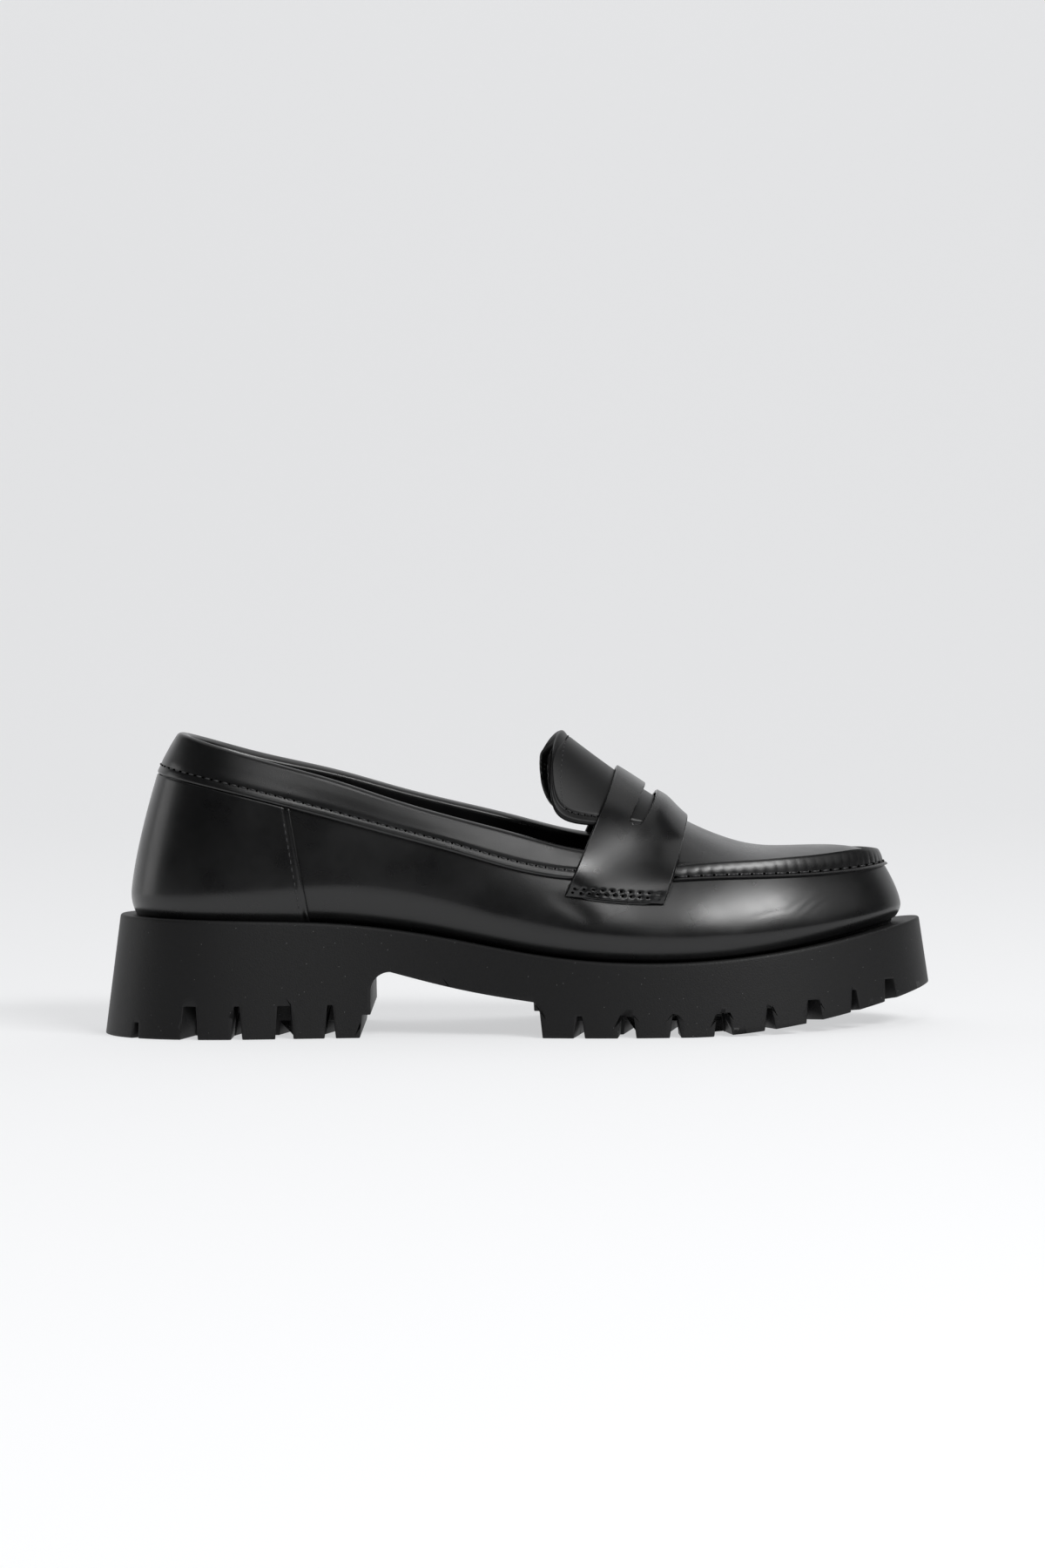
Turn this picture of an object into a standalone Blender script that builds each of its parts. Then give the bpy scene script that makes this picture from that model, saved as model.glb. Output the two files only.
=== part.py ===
"""Chunky lug sole penny loafer, a right shoe, built as a shoemaker would from separate pieces.

Units are metres and +Z is up. The toe points along +X, the outer (lateral) side of the foot is -Y and the
inner (medial) side is +Y. The shoe stands on Z = 0 with its box centred on X = 0 and Y = 0. The tables and
driving sizes are in millimetres.
"""

import math

import bmesh
import bpy
import numpy as np
from mathutils import Vector
from mathutils.bvhtree import BVHTree

MM = 0.001
GAP = 0.3              # clearance between pieces that meet

# Leather and lining thicknesses
UPPER_WALL = 2.2
COUNTER_WALL = 1.0
BAND_WALL = 1.4
BAND_LINING = 1.0
BAND_INSIDE = 9.0      # how far the band runs down inside the collar
TONGUE_WALL = 1.5
STRAP_WALL = 1.2
INSOLE_THICK = 3.5
INSOLE_CLEARANCE = 0.9

# Sole block
SIDE_DRAFT = 0.09      # outward slope of the sole's side, per unit of height
END_DRAFT = 0.05       # added at the toe and the heel back
HEEL_BREAST_X = -49.0
BREAST_RADIUS = 6.5
LUG_STEP_Z = 7.6       # the lug layer is set back from the breast under this height
LUG_STEP = 2.8
ARCH_TOP = (-42.5, 21.6)
ARCH_END = (5.0, 11.7)
ARCH_SAG = 1.0
FORE_LUG_X = 6.8
FORE_STEP_Z = 8.9
EDGE_SLOPE = 0.8       # how far the lug edges at breast and fore step lean by the ground
SPRING_START_X = 56.0
SPRING_END = (139.0, 13.4)             # x, z of the underside at the toe
SPRING_POWER = 1.75
BELOW_GROUND = 6.0                     # how far the spaces cut from the tread reach under it
BLOCK_TOP = 46.0                       # over the highest place of the sole's top
BLOCK_HALF_LENGTH = 150.0
BLOCK_HALF_WIDTH = 75.0
SOLE_SECTIONS_PER_SIDE = 44

# Side slots between the lugs: wide and narrow ones take turns along the edge
HEEL_SLOT_DEPTH = 11.0
FORE_SLOT_DEPTH = 7.3
NOTCH_DEPTH = 5.2
SLOT_WIDTHS = {"wide": (4.2, 6.0), "narrow": (1.6, 3.7), "notch": (2.0, 2.6)}   # top, bottom
SLOT_REACH = 12.0
SLOT_OUTSIDE = 9.0     # how far a slot's space starts outside the sole's top edge
NOTCH_REACH_SHARE = 0.35
LAST_NOTCH_SHARE = 0.6 # how deep the notch at the toe is, as a share of the others
CHANNEL_DEPTH = 4.6
CHANNEL_WIDTH = 3.4
CHANNEL_POINT = 6.0    # how far a channel's middle lies ahead of its ends
CHANNEL_FLARE = 0.8    # how much wider it is to each side under the ground
CHANNEL_LAP = 1.5      # how far it runs into the slots at its ends
LAST_CHANNEL_X = 105.0
HEEL_SLOTS = ((10.7, "narrow"), (25.9, "wide"), (41.4, "narrow"), (56.6, "wide"), (75.5, "notch"))
FORE_SLOT_START = 13.6
FORE_SLOT_PITCH = 15.6
FORE_SLOT_COUNT = 8

# Outline of the sole's top edge, clockwise from the heel back: lateral side, toe, medial side
RIM_PLAN = (
    # x, y
    (-134.0, 0.0),
    (-128.0, -19.0),
    (-110.0, -31.3),
    (-80.0, -33.5),
    (-45.0, -32.8),
    (-10.0, -38.2),
    (25.0, -45.9),
    (55.0, -47.4),
    (88.0, -41.2),
    (114.0, -27.5),
    (131.0, -10.0),
    (136.0, 5.0),
    (131.5, 20.0),
    (116.0, 34.5),
    (90.0, 44.0),
    (55.0, 47.4),
    (20.0, 43.6),
    (-15.0, 35.8),
    (-45.0, 31.2),
    (-80.0, 32.3),
    (-110.0, 30.3),
    (-128.0, 18.5),
)
TOE_ROW = 11

# Heights along the shoe, seen from the side
SIDE_PROFILE = (
    # x, sole top, seam, topline
    (-140.0, 40.3, 92.0, 105.0),
    (-115.0, 39.5, 86.0, 100.1),
    (-90.0, 38.8, 79.8, 92.3),
    (-60.0, 37.5, 71.8, 83.8),
    (-40.0, 35.2, 66.2, 77.0),
    (-20.0, 31.8, 60.6, 71.0),
    (0.0, 28.0, 54.7, 65.5),
    (20.0, 25.3, 51.4, 60.2),
    (40.0, 24.2, 51.4, 58.0),
    (62.0, 24.6, 52.3, 58.0),
    (89.0, 27.3, 52.4, 58.0),
    (112.0, 31.0, 53.2, 58.0),
    (138.0, 36.0, 56.0, 58.0),
)
MEDIAL_RISE = 3.5      # how much higher the topline is on the inner side of the foot, at the strap

# Upper, measured inwards from the sole's top edge: one row for each section, by that edge's x
INSETS = (
    # x, feather, belly, belly above the sole, seam, topline
    (-134.0, 6.6, 5.0, 6.5, 14.4, 21.4),
    (-115.0, 6.2, 4.6, 7.5, 10.8, 16.4),
    (-90.0, 5.6, 3.2, 9.5, 6.9, 11.4),
    (-45.0, 5.0, 0.8, 13.0, 2.0, 4.4),
    (-10.0, 5.0, 2.3, 11.0, 4.6, 8.2),
    (25.0, 5.0, 2.6, 9.0, 8.4, 12.2),
    (55.0, 5.0, 3.0, 8.0, 10.6, 14.0),
    (88.0, 5.6, 4.0, 6.5, 11.2, 14.0),
    (114.0, 6.8, 5.2, 5.0, 11.8, 14.0),
    (136.0, 7.7, 6.1, 4.0, 12.2, 14.0),
)
WALL_CURVE = 1.45      # power of the wall's inward lean between belly and seam, at the toe
HEEL_WALL_CURVE = 1.35

# Apron (the vamp's top panel) and the tongue that carries on from it: crown line and arch
APRON_PROFILE = (
    # x, crown z, z at the arch's foot, share of the arch that is a plain parabola
    (4.0, 106.8, 44.0, 0.5),
    (14.0, 98.9, 47.2, 0.5),
    (33.0, 84.4, 53.0, 0.5),
    (44.0, 77.0, 55.0, 0.6),
    (58.0, 68.7, 55.2, 0.8),
    (68.0, 64.2, 55.2, 1.0),
    (80.0, 60.8, 55.1, 1.0),
    (92.0, 60.2, 54.6, 1.0),
    (106.0, 60.2, 51.8, 1.0),
    (116.0, 58.9, 48.6, 1.0),
    (126.0, 55.6, 45.0, 1.0),
)
ARCH_HALF_WIDTH = 35.0
MIDLINE = ((-140.0, 0.0), (40.0, 0.0), (88.0, 1.2), (114.0, 3.8), (130.0, 5.0))   # x, y

# Raised apron seam: outward distance from the stitch line and height over it
LIP = ((0.9, -1.7), (1.9, -1.6), (1.9, -0.8))
RIDGE_SIDE = ((-0.1, 0.42), (-0.7, 0.84), (-1.7, 1.0))   # height as a share of the ridge
RIDGE_OVER_APRON = 0.9
GROOVE_IN = 3.2

# Where the collar ends and the apron begins, by the x of the sole's edge: both hidden by the strap
COLLAR_END_X = 24.0
COLLAR_LAP = 7.0
APRON_START_X = 50.0
THROAT_X = 40.0
THROAT_HALF = 31.0
THROAT_BOW = 6.0

# Heel counter panel, seen from the side: its front edge
COUNTER_EDGE = (-68.7, -75.0)   # x of the sole's edge under it, at the sole and at the top

# Tongue, one row for each crossing: x on the crown, x at the edge, y at the edge
TONGUE_ROWS = (
    # crown x, edge x, edge y
    (50.0, 45.0, 27.0),
    (42.0, 35.5, 28.0),
    (33.5, 22.5, 28.6),
    (26.5, 13.4, 28.0),
    (21.0, 9.4, 26.2),
    (17.0, 8.1, 23.6),
    (14.0, 8.4, 19.5),
)

# Saddle strap: pivot line inside the foot, and the crown of its rear and front edges
STRAP_PIVOT_Z = 49.0
STRAP_REAR = (16.7, 33.3, 86.0, 94.5)    # pivot x, crown x, crown z, end angle from the crown in degrees
STRAP_FRONT = (50.2, 57.4, 70.0, 98.0)
STRAP_SHARES = (0.0, 0.06, 0.28, 0.5, 0.72, 0.94, 1.0)
STRAP_CORNER = 2.6                       # degrees taken off its four corners
DRAPE_ROUNDS = 4                  # how often the strap is stretched over what lies under it
DRAPE_FINE = 6                    # rays between two of its points
DRAPE_FAR = 95.0                  # outside everything that it lies on
STRAP_COLUMNS = 34
SLOT_CENTRE = (45.0, 79.7)        # x, z on the crown
SLOT_SLOPE = 30.0                 # degrees, how far its bar leans
SLOT_HALF_LENGTH = 30.5
SLOT_MIDDLE = 4.6                 # fore and aft width on the crown
SLOT_END = 5.4
SLOT_END_SHARE = 0.6              # width left where its rounded ends begin
SLOT_SIDE_STEPS = 8
SLOT_BELOW = 22.0                 # how far the cut-out's bar reaches into the foot and over the strap
SLOT_ABOVE = 8.0

TONGUE_COLUMNS = 14
SHARP_ANGLE = 35.0
SECTIONS_PER_SIDE = 40
END_CROWDING = 0.35


def cubic(xs, ys):
    """A natural cubic spline through (xs, ys), as a function; straight beyond its ends."""
    xs, ys = np.array(xs, float), np.array(ys, float)
    h = np.diff(xs)
    n = len(xs)
    system = np.eye(n)
    right = np.zeros(n)
    for i in range(1, n - 1):
        system[i, i - 1: i + 2] = h[i - 1], 2 * (h[i - 1] + h[i]), h[i]
        right[i] = 6 * ((ys[i + 1] - ys[i]) / h[i] - (ys[i] - ys[i - 1]) / h[i - 1])
    bend = np.linalg.solve(system, right)

    def value(x):
        x = min(max(x, xs[0]), xs[-1])
        i = min(int(np.searchsorted(xs, x, "right")) - 1, n - 2)
        a, b = (xs[i + 1] - x) / h[i], (x - xs[i]) / h[i]
        curve = ((a ** 3 - a) * bend[i] + (b ** 3 - b) * bend[i + 1]) * h[i] ** 2 / 6
        return float(a * ys[i] + b * ys[i + 1] + curve)

    return value


def columns(table):
    """One spline for each column after the first, which is x."""
    rows = np.array(table, float)
    return [cubic(rows[:, 0], rows[:, c]) for c in range(1, rows.shape[1])]


def smooth(low, high, x):
    """0 below low, 1 above high, and a smooth step between."""
    s = min(1.0, max(0.0, (x - low) / (high - low)))
    return s * s * (3 - 2 * s)


def mix(a, b, share):
    return a + (b - a) * share


sole_top, seam_height, topline_height = columns(SIDE_PROFILE)
feather_in, belly_in, belly_up, seam_in, topline_in = columns(INSETS)
apron_crown, apron_foot, apron_parabola = columns(APRON_PROFILE)
(midline,) = columns(MIDLINE)


class Rim:
    """The sole's top edge. A place on it is q, from 0 at the heel back to 1 at the toe: negative on the
    lateral side and positive on the medial one."""

    SAMPLES = 600
    REACH = 1.5        # how far to each side its direction is read

    def __init__(self):
        plan = np.array(RIM_PLAN)
        ring = np.vstack([plan[-4:], plan, plan[:5]])
        step = np.linalg.norm(np.diff(ring, axis=0), axis=1)
        at = np.concatenate([[0], np.cumsum(step)])
        x, y = cubic(at, ring[:, 0]), cubic(at, ring[:, 1])
        heel, toe, heel_again = at[4], at[4 + TOE_ROW], at[4 + len(plan)]
        self.sides = {-1: self.measured(x, y, heel, toe), 1: self.measured(x, y, heel_again, toe)}

    def measured(self, x, y, start, end):
        places = np.array([(x(s), y(s)) for s in np.linspace(start, end, self.SAMPLES)])
        run = np.concatenate([[0], np.cumsum(np.linalg.norm(np.diff(places, axis=0), axis=1))])
        return run, places

    def length(self, side):
        return self.sides[side][0][-1]

    def at(self, q):
        """(x, y, outward x, outward y) of the edge at q."""
        side = 1 if q > 0 else -1
        run, places = self.sides[side]
        s = min(abs(q), 1.0) * run[-1]
        point = np.array([np.interp(s, run, places[:, c]) for c in (0, 1)])
        reach = self.REACH
        ahead = [np.interp(min(s + reach, run[-1]), run, places[:, c]) for c in (0, 1)]
        behind = [np.interp(max(s - reach, 0.0), run, places[:, c]) for c in (0, 1)]
        dx, dy = ahead[0] - behind[0], ahead[1] - behind[1]
        if s < reach:        # the heel back and the toe face straight along the shoe
            dx *= s / reach
        if run[-1] - s < reach:
            dx *= (run[-1] - s) / reach
        size = math.hypot(dx, dy)
        return point[0], point[1], -side * dy / size, side * dx / size

    def q_of_x(self, x, side):
        """The place on one side where the edge has this x."""
        run, places = self.sides[side]
        return side * float(np.interp(x, places[:, 0], run)) / run[-1]


rim = Rim()


def stations(per_side):
    """q of the sections all round, crowded a little at the heel and the toe."""
    share = [k / per_side for k in range(per_side + 1)]
    spread = [f - END_CROWDING * math.sin(2 * math.pi * f) / (2 * math.pi) for f in share]
    return [-q for q in spread] + spread[-2:0:-1]


def arch(x, y):
    """Height of the apron's outer face, and of the surface that carries it on under the tongue."""
    t = min(1.15, abs(y - midline(x)) / ARCH_HALF_WIDTH)
    parabola = apron_parabola(x)
    drop = parabola * t ** 2 + (1 - parabola) * t ** 4
    return apron_crown(x) - (apron_crown(x) - apron_foot(x)) * drop


class Section:
    """The upper's outer face in the upright plane that crosses the sole's edge at q."""

    def __init__(self, q):
        self.q = q
        self.x, self.y, self.nx, self.ny = rim.at(q)
        x = self.x
        self.base = sole_top(x) + GAP
        self.feather = feather_in(x)
        self.belly = belly_in(x)
        self.belly_z = self.base + belly_up(x)
        self.seam = seam_in(x)
        seam_x = self.plan(self.seam)[0]
        self.seam_z = seam_height(seam_x)
        self.top = topline_in(x)
        top_x = self.plan(self.top)[0]
        medial = smooth(-115, 5, top_x) if q > 0 else 0.0
        self.top_z = topline_height(top_x) + MEDIAL_RISE * medial
        self.curve = mix(HEEL_WALL_CURVE, WALL_CURVE, smooth(-60, 60, x))
        self.apron_share = smooth(COLLAR_END_X + COLLAR_LAP, APRON_START_X, x)

    def plan(self, inset):
        return self.x - self.nx * inset, self.y - self.ny * inset

    def inset(self, z):
        """How far the wall stands inside the sole's edge at a height."""
        if z < self.belly_z:
            s = (self.belly_z - z) / (self.belly_z - self.base)
            return mix(self.belly, self.feather, s * s)
        if z < self.seam_z:
            s = (z - self.belly_z) / (self.seam_z - self.belly_z)
            return mix(self.belly, self.seam, s ** self.curve)
        s = (z - self.seam_z) / (self.top_z - self.seam_z)
        return mix(self.seam, self.top, s ** 1.15)

    def lean(self, z):
        """How fast the wall leans inwards with height."""
        step = 0.5
        return (self.inset(z + step) - self.inset(z - step)) / (2 * step)

    def inside(self, z, depth):
        """How far a face at some depth under the wall stands inside the sole's edge."""
        return self.inset(z) + depth * math.hypot(self.lean(z), 1.0)

    def wall(self, z, outward=0.0):
        """A point on the wall, moved outwards square to it."""
        lean = self.lean(z)
        size = math.hypot(lean, 1.0)
        x, y = self.plan(self.inset(z) - outward / size)
        return np.array((x, y, z + outward * lean / size))

    def throat(self):
        """Where this section reaches the edge of the foot opening, in plan."""
        side = 1 if self.q > 0 else -1
        start = rim.q_of_x(APRON_START_X, side)
        across = side * (1 - smooth(abs(start), 1.0, abs(self.q)) ** 0.8)
        bow = THROAT_BOW * across ** 2
        return THROAT_X - bow, THROAT_HALF * across + midline(THROAT_X)

    def collar_rows(self, count):
        """Rear sections: rows from just under the seam up to the topline."""
        low = [self.wall(self.seam_z + dz) for dz in (-UNDER_SEAM, -1.2, -0.6, 0.0)]
        rise = (self.top_z - self.seam_z) / (count - 4)
        return low + [self.wall(self.seam_z + rise * (k + 1)) for k in range(count - 4)]

    def apron_rows(self, shares, raised=True):
        """Front sections: lip, stitch line and ridge, then across the apron to the throat."""
        groove = self.plan(self.seam + GROOVE_IN)
        groove_z = arch(*groove)
        crest = self.plan(self.seam - RIDGE_SIDE[-1][0])
        ridge = arch(*crest) + RIDGE_OVER_APRON - self.seam_z
        rows = []
        if raised:
            for outward, dz in LIP:
                rows.append((*self.plan(self.seam - outward), self.seam_z + dz))
            rows.append((*self.plan(self.seam), self.seam_z))
            for outward, share in RIDGE_SIDE:
                rows.append((*self.plan(self.seam - outward), self.seam_z + ridge * share))
        else:
            rows.append((*self.plan(self.seam + 0.4), self.seam_z + 0.3))
        rows.append((*groove, groove_z))
        end = self.throat()
        for share in shares:
            x, y = mix(groove[0], end[0], share), mix(groove[1], end[1], share)
            rows.append((x, y, arch(x, y)))
        return [np.array(row) for row in rows]


LOW_ROWS = (0.0, 0.4, 1.0)             # rows from the feather edge up to the belly
WALL_ROWS = (0.25, 0.5, 0.75)          # and from there to just under the seam
UNDER_SEAM = 1.7
APRON_SHARES = (0.1, 0.28, 0.52, 0.78, 1.0)
INNER_SHARES = (0.3, 0.65, 1.0)


def outer_rows(section):
    """The outer face of the upper in one section, from the feather edge to the foot opening."""
    low = [section.wall(mix(section.base, section.belly_z, s)) for s in LOW_ROWS]
    under_seam = section.seam_z - UNDER_SEAM
    wall = [section.wall(mix(section.belly_z, under_seam, s)) for s in WALL_ROWS]
    front = section.apron_rows(APRON_SHARES)
    rear = section.collar_rows(len(front))
    upper = [mix(r, f, section.apron_share) for r, f in zip(rear, front)]
    return low + wall + upper


def inner_guide(section):
    """The same face without lip and ridge, which the lining is measured from."""
    low = [section.wall(mix(section.base, section.belly_z, s)) for s in LOW_ROWS]
    wall = [section.wall(mix(section.belly_z, section.seam_z - 1.0, s)) for s in (0.35, 0.7)]
    front = section.apron_rows(INNER_SHARES, raised=False)
    rise = (section.top_z - section.seam_z) / (len(front) - 1)
    rear = [section.wall(section.seam_z + rise * k) for k in range(len(front))]
    upper = [mix(r, f, section.apron_share) for r, f in zip(rear, front)]
    return low + wall + upper


def grid_normals(grid, around):
    """Unit normals of a grid of points; the first direction closes on itself if around is true."""
    if around:
        along = np.roll(grid, -1, axis=0) - np.roll(grid, 1, axis=0)
    else:
        along = np.gradient(grid, axis=0)
    up = np.gradient(grid, axis=1)
    normal = np.cross(along, up)
    return normal / np.maximum(np.linalg.norm(normal, axis=2, keepdims=True), 1e-9)


def new_object(name, mesh_maker, material):
    """Makes one named object from a function that fills a bmesh in millimetres."""
    bm = bmesh.new()
    mesh_maker(bm)
    bmesh.ops.recalc_face_normals(bm, faces=bm.faces)
    bmesh.ops.scale(bm, vec=(MM, MM, MM), verts=bm.verts)
    mesh = bpy.data.meshes.new(name)
    bm.to_mesh(mesh)
    bm.free()
    mesh.shade_smooth()
    mesh.set_sharp_from_angle(angle=math.radians(SHARP_ANGLE))
    made = bpy.data.objects.new(name, mesh)
    bpy.context.scene.collection.objects.link(made)
    if material:
        mesh.materials.append(material)
    return made


def add_grid(bm, grid, around=False):
    """Adds a grid of quads through the points and gives its vertices, row by row."""
    made = [[bm.verts.new(point) for point in row] for row in grid]
    count = len(made)
    for i in range(count if around else count - 1):
        a, b = made[i], made[(i + 1) % count]
        for j in range(len(a) - 1):
            bm.faces.new((a[j], b[j], b[j + 1], a[j + 1]))
    return made


def sheet_between(bm, first, second, around=False):
    """A closed wall between two grids of the same size."""
    a, b = add_grid(bm, first, around), add_grid(bm, second, around)
    rows, last = len(a), len(a[0]) - 1
    for i in range(rows if around else rows - 1):
        k = (i + 1) % rows
        for j in (0, last):
            bm.faces.new((a[i][j], a[k][j], b[k][j], b[i][j]))
    if not around:
        for i in (0, rows - 1):
            for j in range(last):
                bm.faces.new((a[i][j], a[i][j + 1], b[i][j + 1], b[i][j]))


def close_prism(bm, near, far):
    """Joins two rings of vertices of the same size into a closed prism."""
    bm.faces.new(near)
    bm.faces.new(far)
    for j in range(len(near)):
        k = (j + 1) % len(near)
        bm.faces.new((near[j], near[k], far[k], far[j]))


def leather(name, colour, roughness):
    """A Principled material for one kind of leather, lining or rubber."""
    made = bpy.data.materials.new(name)
    made.use_nodes = True
    shader = made.node_tree.nodes["Principled BSDF"]
    shader.inputs["Base Color"].default_value = (*colour, 1.0)
    shader.inputs["Roughness"].default_value = roughness
    shader.inputs["Metallic"].default_value = 0.0
    return made


def make_upper(material):
    """Vamp, apron and quarters: one hollow wall, open at the collar, the throat and underneath."""
    sections = [Section(q) for q in stations(SECTIONS_PER_SIDE)]
    outer = np.array([outer_rows(s) for s in sections])
    guide = np.array([inner_guide(s) for s in sections])
    inner = guide - UPPER_WALL * grid_normals(guide, around=True)
    inner[:, 0, 2] = outer[:, 0, 2]

    def fill(bm):
        out, inn = add_grid(bm, outer, around=True), add_grid(bm, inner, around=True)
        for i in range(len(out)):
            k = (i + 1) % len(out)
            bm.faces.new((out[i][0], out[k][0], inn[k][0], inn[i][0]))
            bm.faces.new((out[i][-1], out[k][-1], inn[k][-1], inn[i][-1]))

    return new_object("upper", fill, material)


def make_counter(material):
    """The heel counter panel, laid over the back of the upper from one side seam to the other."""
    reach = [[rim.q_of_x(x, side) for side in (-1, 1)] for x in COUNTER_EDGE]
    first, last = max(q[0] for q in reach), min(q[1] for q in reach)
    between = [q for q in sorted(stations(SECTIONS_PER_SIDE)) if first < q < last]
    rows = len(LOW_ROWS) + len(WALL_ROWS) + 1
    under, over = [], []
    for j in range(rows):
        share = j / (rows - 1)
        ends = [mix(low, high, share) for low, high in zip(*reach)]
        line_under, line_over = [], []
        for q in [ends[0], *between, ends[1]]:
            section = Section(q)
            low = [mix(section.base, section.belly_z, s) for s in LOW_ROWS]
            high = [mix(section.belly_z, section.seam_z - UNDER_SEAM, s) for s in WALL_ROWS]
            z = (low + high + [section.seam_z - GAP])[j]
            below, above = section.wall(z, GAP), section.wall(z, GAP + COUNTER_WALL)
            if j == 0:
                below[2] = above[2] = z + GAP
            line_under.append(below)
            line_over.append(above)
        under.append(line_under)
        over.append(line_over)
    return new_object("heel_counter", lambda bm: sheet_between(bm, under, over), material)


def band_outline(section):
    """The collar band's section: over the wall outside, round the topline and down inside."""
    foot, top = section.seam_z, section.top_z
    outside = GAP + BAND_WALL
    inside = -(UPPER_WALL + 2 * GAP)
    heights = [mix(foot, top, s) for s in (0.0, 0.06, 0.5, 1.0)]
    points = [section.wall(heights[0], GAP)]
    points += [section.wall(heights[0], outside - 0.5)]
    points += [section.wall(z, outside) for z in heights[1:]]
    up = section.wall(top + GAP + BAND_LINING, 0.0)
    points += [mix(section.wall(top + GAP + 0.9, outside - 0.9), up, 0.15)]
    points += [section.wall(top + GAP + 0.9, inside - BAND_LINING + 0.9)]
    points += [section.wall(top - 0.6, inside - BAND_LINING)]
    points += [section.wall(top - BAND_INSIDE, inside - BAND_LINING)]
    points += [section.wall(top - BAND_INSIDE, inside)]
    points += [section.wall(top + GAP, inside)]
    points += [section.wall(mix(foot, top, s) + GAP * s, GAP) for s in (1.0, 0.66, 0.33)]
    return points


def make_collar_band(material):
    """The folded strip that binds the foot opening, from under one end of the strap to the other."""
    ends = [rim.q_of_x(COLLAR_END_X, side) for side in (-1, 1)]
    places = [q for q in sorted(stations(SECTIONS_PER_SIDE)) if ends[0] < q < ends[1]]
    loops = [band_outline(Section(q)) for q in [ends[0], *places, ends[1]]]

    def fill(bm):
        rings = [[bm.verts.new(point) for point in loop] for loop in loops]
        size = len(loops[0])
        for a, b in zip(rings, rings[1:]):
            for j in range(size):
                k = (j + 1) % size
                bm.faces.new((a[j], b[j], b[k], a[k]))
        bm.faces.new(rings[0])
        bm.faces.new(rings[-1])

    return new_object("collar_band", fill, material)


def make_tongue(material):
    """The tongue: it starts under the strap, lies on the apron and rises free over the instep."""
    guide = []
    for crown_x, edge_x, edge_y in TONGUE_ROWS:
        line = []
        for i in range(TONGUE_COLUMNS + 1):
            w = math.sin(mix(-1.0, 1.0, i / TONGUE_COLUMNS) * math.pi / 2)
            x, y = mix(crown_x, edge_x, w * w), edge_y * w + midline(crown_x)
            line.append((x, y, arch(x, y)))
        guide.append(line)
    guide = np.array(guide)
    normals = -grid_normals(guide, around=False)
    under = guide + normals * GAP * 1.3
    over = guide + normals * (GAP * 1.3 + TONGUE_WALL)
    return new_object("tongue", lambda bm: sheet_between(bm, under, over), material)


def strap_frame(share):
    """Pivot point, upward direction and end angle of the strap, from its rear edge to its front one."""
    pivot_x = mix(STRAP_REAR[0], STRAP_FRONT[0], share)
    crown_x = mix(STRAP_REAR[1], STRAP_FRONT[1], share)
    crown_z = mix(STRAP_REAR[2], STRAP_FRONT[2], share)
    end = mix(STRAP_REAR[3], STRAP_FRONT[3], share)
    if share in (0.0, 1.0):
        end -= STRAP_CORNER
    up = np.array((crown_x - pivot_x, 0.0, crown_z - STRAP_PIVOT_Z))
    return np.array((pivot_x, 0.0, STRAP_PIVOT_Z)), up / np.linalg.norm(up), end


def drape(carriers):
    """Pivot, ray and distance of each of the strap's points: it lies on what is under it, hollows bridged."""
    trees = [BVHTree.FromObject(o, bpy.context.evaluated_depsgraph_get()) for o in carriers]
    fine = DRAPE_FINE
    along, across = len(STRAP_SHARES) - 1, STRAP_COLUMNS
    found = np.zeros((along * fine + 1, across * fine + 1))
    rays = np.zeros((*found.shape, 3))
    pivots = np.zeros((*found.shape, 3))
    for m in range(found.shape[0]):
        share = float(np.interp(m / fine, range(along + 1), STRAP_SHARES))
        pivot, up, end = strap_frame(share)
        pivots[m] = pivot
        for n in range(found.shape[1]):
            angle = math.radians(mix(-end, end, n / fine / across))
            ray = up * math.cos(angle) + np.array((0.0, math.sin(angle), 0.0))
            start = Vector((pivot + ray * DRAPE_FAR) * MM)
            hits = [tree.ray_cast(start, Vector(-ray)) for tree in trees]
            nearest = min((hit[3] for hit in hits if hit[0] is not None), default=DRAPE_FAR * MM)
            found[m, n] = DRAPE_FAR - nearest / MM
            rays[m, n] = ray
        real = np.flatnonzero(found[m] > 0)      # a ray between two pieces ends on the far side
        found[m] = np.interp(np.arange(found.shape[1]), real, found[m, real])
    reach = found[::fine, ::fine].copy()
    spread = reach.copy()
    spread[:, 1:-1] = (reach[:, :-2] + 2 * reach[:, 1:-1] + reach[:, 2:]) / 4
    reach = np.maximum(reach, spread)
    for _ in range(DRAPE_ROUNDS):
        for m in range(found.shape[0]):
            for n in range(found.shape[1]):
                i, j = min(m // fine, along - 1), min(n // fine, across - 1)
                u, v = m / fine - i, n / fine - j
                cell = reach[i: i + 2, j: j + 2]
                weight = np.outer((1 - u, u), (1 - v, v))
                short = found[m, n] - float((cell * weight).sum())
                if short > 0:
                    cell += short * weight / weight.max()
    return pivots[::fine, ::fine], rays[::fine, ::fine], reach[:, :, None]


def new_cutter(name, mesh_maker):
    """A shape that is only cut with: it is not rendered, and shows as a wire."""
    made = new_object(name, mesh_maker, None)
    made.hide_render = True
    made.display_type = "WIRE"
    return made


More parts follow.
